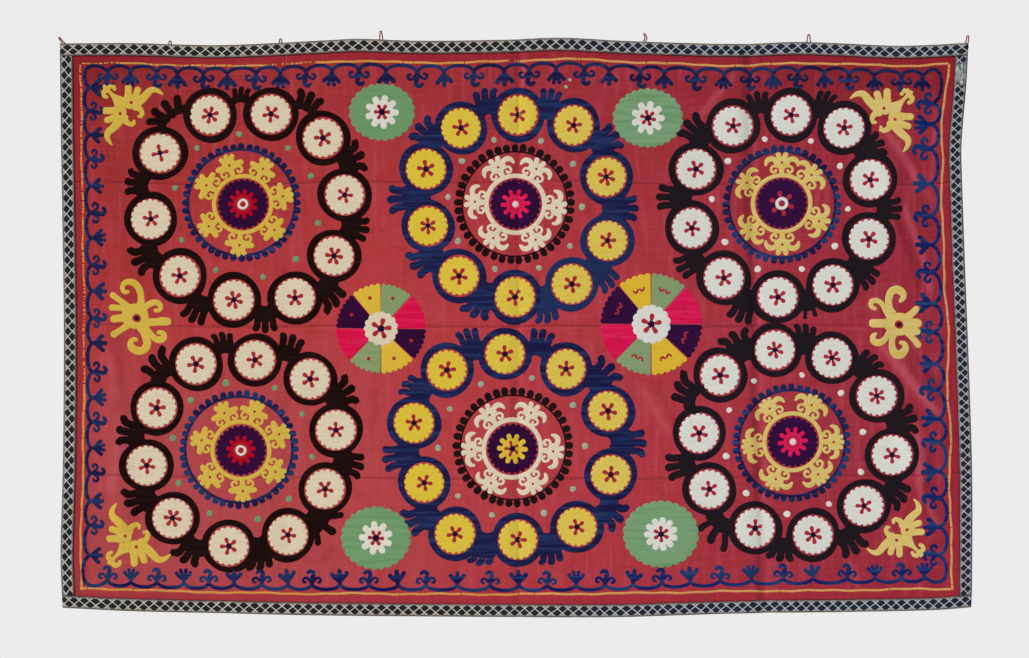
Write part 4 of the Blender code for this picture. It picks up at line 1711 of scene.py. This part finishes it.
def make_cord_material():
    material, nodes, shader = new_material("loop_cord")
    place = nodes.place()
    fade = nodes.noise(place, 240, (1, 1, 1), 3)
    colour = nodes.mix(nodes.ramp(fade, 0.35, 0.7), linear(124, 22, 22), linear(168, 50, 44))
    nodes.put(shader.inputs["Base Color"], colour)
    shader.inputs["Roughness"].default_value = 0.85
    add_bump(nodes, shader, nodes.noise(place, 1500, (1, 1, 1), 2), 0.0002, 0.6)
    return material


cord_material = make_cord_material()
for number, loop in enumerate(LOOPS, start=1):
    name = "hanging_loop_%d" % number
    curve = bpy.data.curves.new(name, "CURVE")
    curve.dimensions = "3D"
    curve.bevel_depth = PLY_RADIUS * MM
    curve.bevel_resolution = 2
    curve.use_fill_caps = True
    centre = smooth_points(loop_path(loop), 0.6)
    for ply in range(2):
        spline = curve.splines.new("POLY")
        spline.points.add(len(centre) - 1)
        travelled = 0
        for index, (point, spot) in enumerate(zip(spline.points, centre)):
            before = centre[max(index - 1, 0)]
            after = centre[min(index + 1, len(centre) - 1)]
            travelled += (spot - before).length
            along = (after - before).normalized()
            outward = Vector((0, -1, 0))
            sideways = along.cross(outward).normalized()
            outward = sideways.cross(along)
            turn = 2 * math.pi * travelled / TWIST_LENGTH + math.pi * ply
            offset = (sideways * math.cos(turn) + outward * math.sin(turn)) * PLY_OFFSET
            point.co = (*((spot + offset) * MM), 1)
    piece = add_piece(name, curve, cord_material)
    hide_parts("loop_%d" % number)

# Floor, light and camera

FLOOR_Z = -2.4
FLOOR_RADIUS = 3.2
BACKGROUND_LIGHT = 0.838
FILL_LIGHT = 0.50
KEY_LIGHT = 2.3
KEY_SOFTNESS = 14
KEY_DIRECTION = (-0.62, -0.62, 0.48)
CAMERA_LENS = 85
CAMERA_PLACE = (-0.00375, -6.074, -0.7225)

floor_mesh = bpy.data.meshes.new("floor")
floor_shape = bmesh.new()
bmesh.ops.create_circle(floor_shape, cap_ends=True, radius=FLOOR_RADIUS, segments=96)
bmesh.ops.translate(floor_shape, verts=floor_shape.verts, vec=(0, 0, FLOOR_Z))
floor_shape.to_mesh(floor_mesh)
floor_shape.free()
floor = bpy.data.objects.new("floor", floor_mesh)
bpy.context.scene.collection.objects.link(floor)
floor_material, floor_nodes, floor_shader = new_material("pale_floor")
floor_shader.inputs["Base Color"].default_value = (0.8, 0.8, 0.79, 1)
floor_shader.inputs["Roughness"].default_value = 0.7
floor_mesh.materials.append(floor_material)

world = bpy.data.worlds.new("studio")
bpy.context.scene.world = world
world.use_nodes = True
sky = Nodes(world.node_tree)
world.node_tree.nodes.clear()
seen = sky.add("ShaderNodeLightPath").outputs["Is Camera Ray"]
backdrop = sky.add("ShaderNodeBackground")
backdrop.inputs["Strength"].default_value = 1
sky_colour = sky.mix(seen, (FILL_LIGHT, FILL_LIGHT, FILL_LIGHT, 1),
                     (BACKGROUND_LIGHT, BACKGROUND_LIGHT, BACKGROUND_LIGHT, 1))
sky.put(backdrop.inputs["Color"], sky_colour)
sky_out = sky.add("ShaderNodeOutputWorld")
sky.put(sky_out.inputs["Surface"], backdrop.outputs[0])

sun = bpy.data.lights.new("key_light", "SUN")
sun.energy = KEY_LIGHT
sun.angle = math.radians(KEY_SOFTNESS)
key = bpy.data.objects.new("key_light", sun)
key.rotation_euler = Vector(KEY_DIRECTION).to_track_quat("Z", "Y").to_euler()
key.location = Vector(KEY_DIRECTION) * 5
bpy.context.scene.collection.objects.link(key)

camera_data = bpy.data.cameras.new("camera")
camera_data.lens = CAMERA_LENS
camera_data.sensor_width = 36
camera = bpy.data.objects.new("camera", camera_data)
camera.location = CAMERA_PLACE
camera.rotation_euler = (math.radians(90), 0, 0)
bpy.context.scene.collection.objects.link(camera)
bpy.context.scene.camera = camera

# Plain film response, so the dyes keep the strength that they have in the photograph
bpy.context.scene.view_settings.view_transform = "Standard"
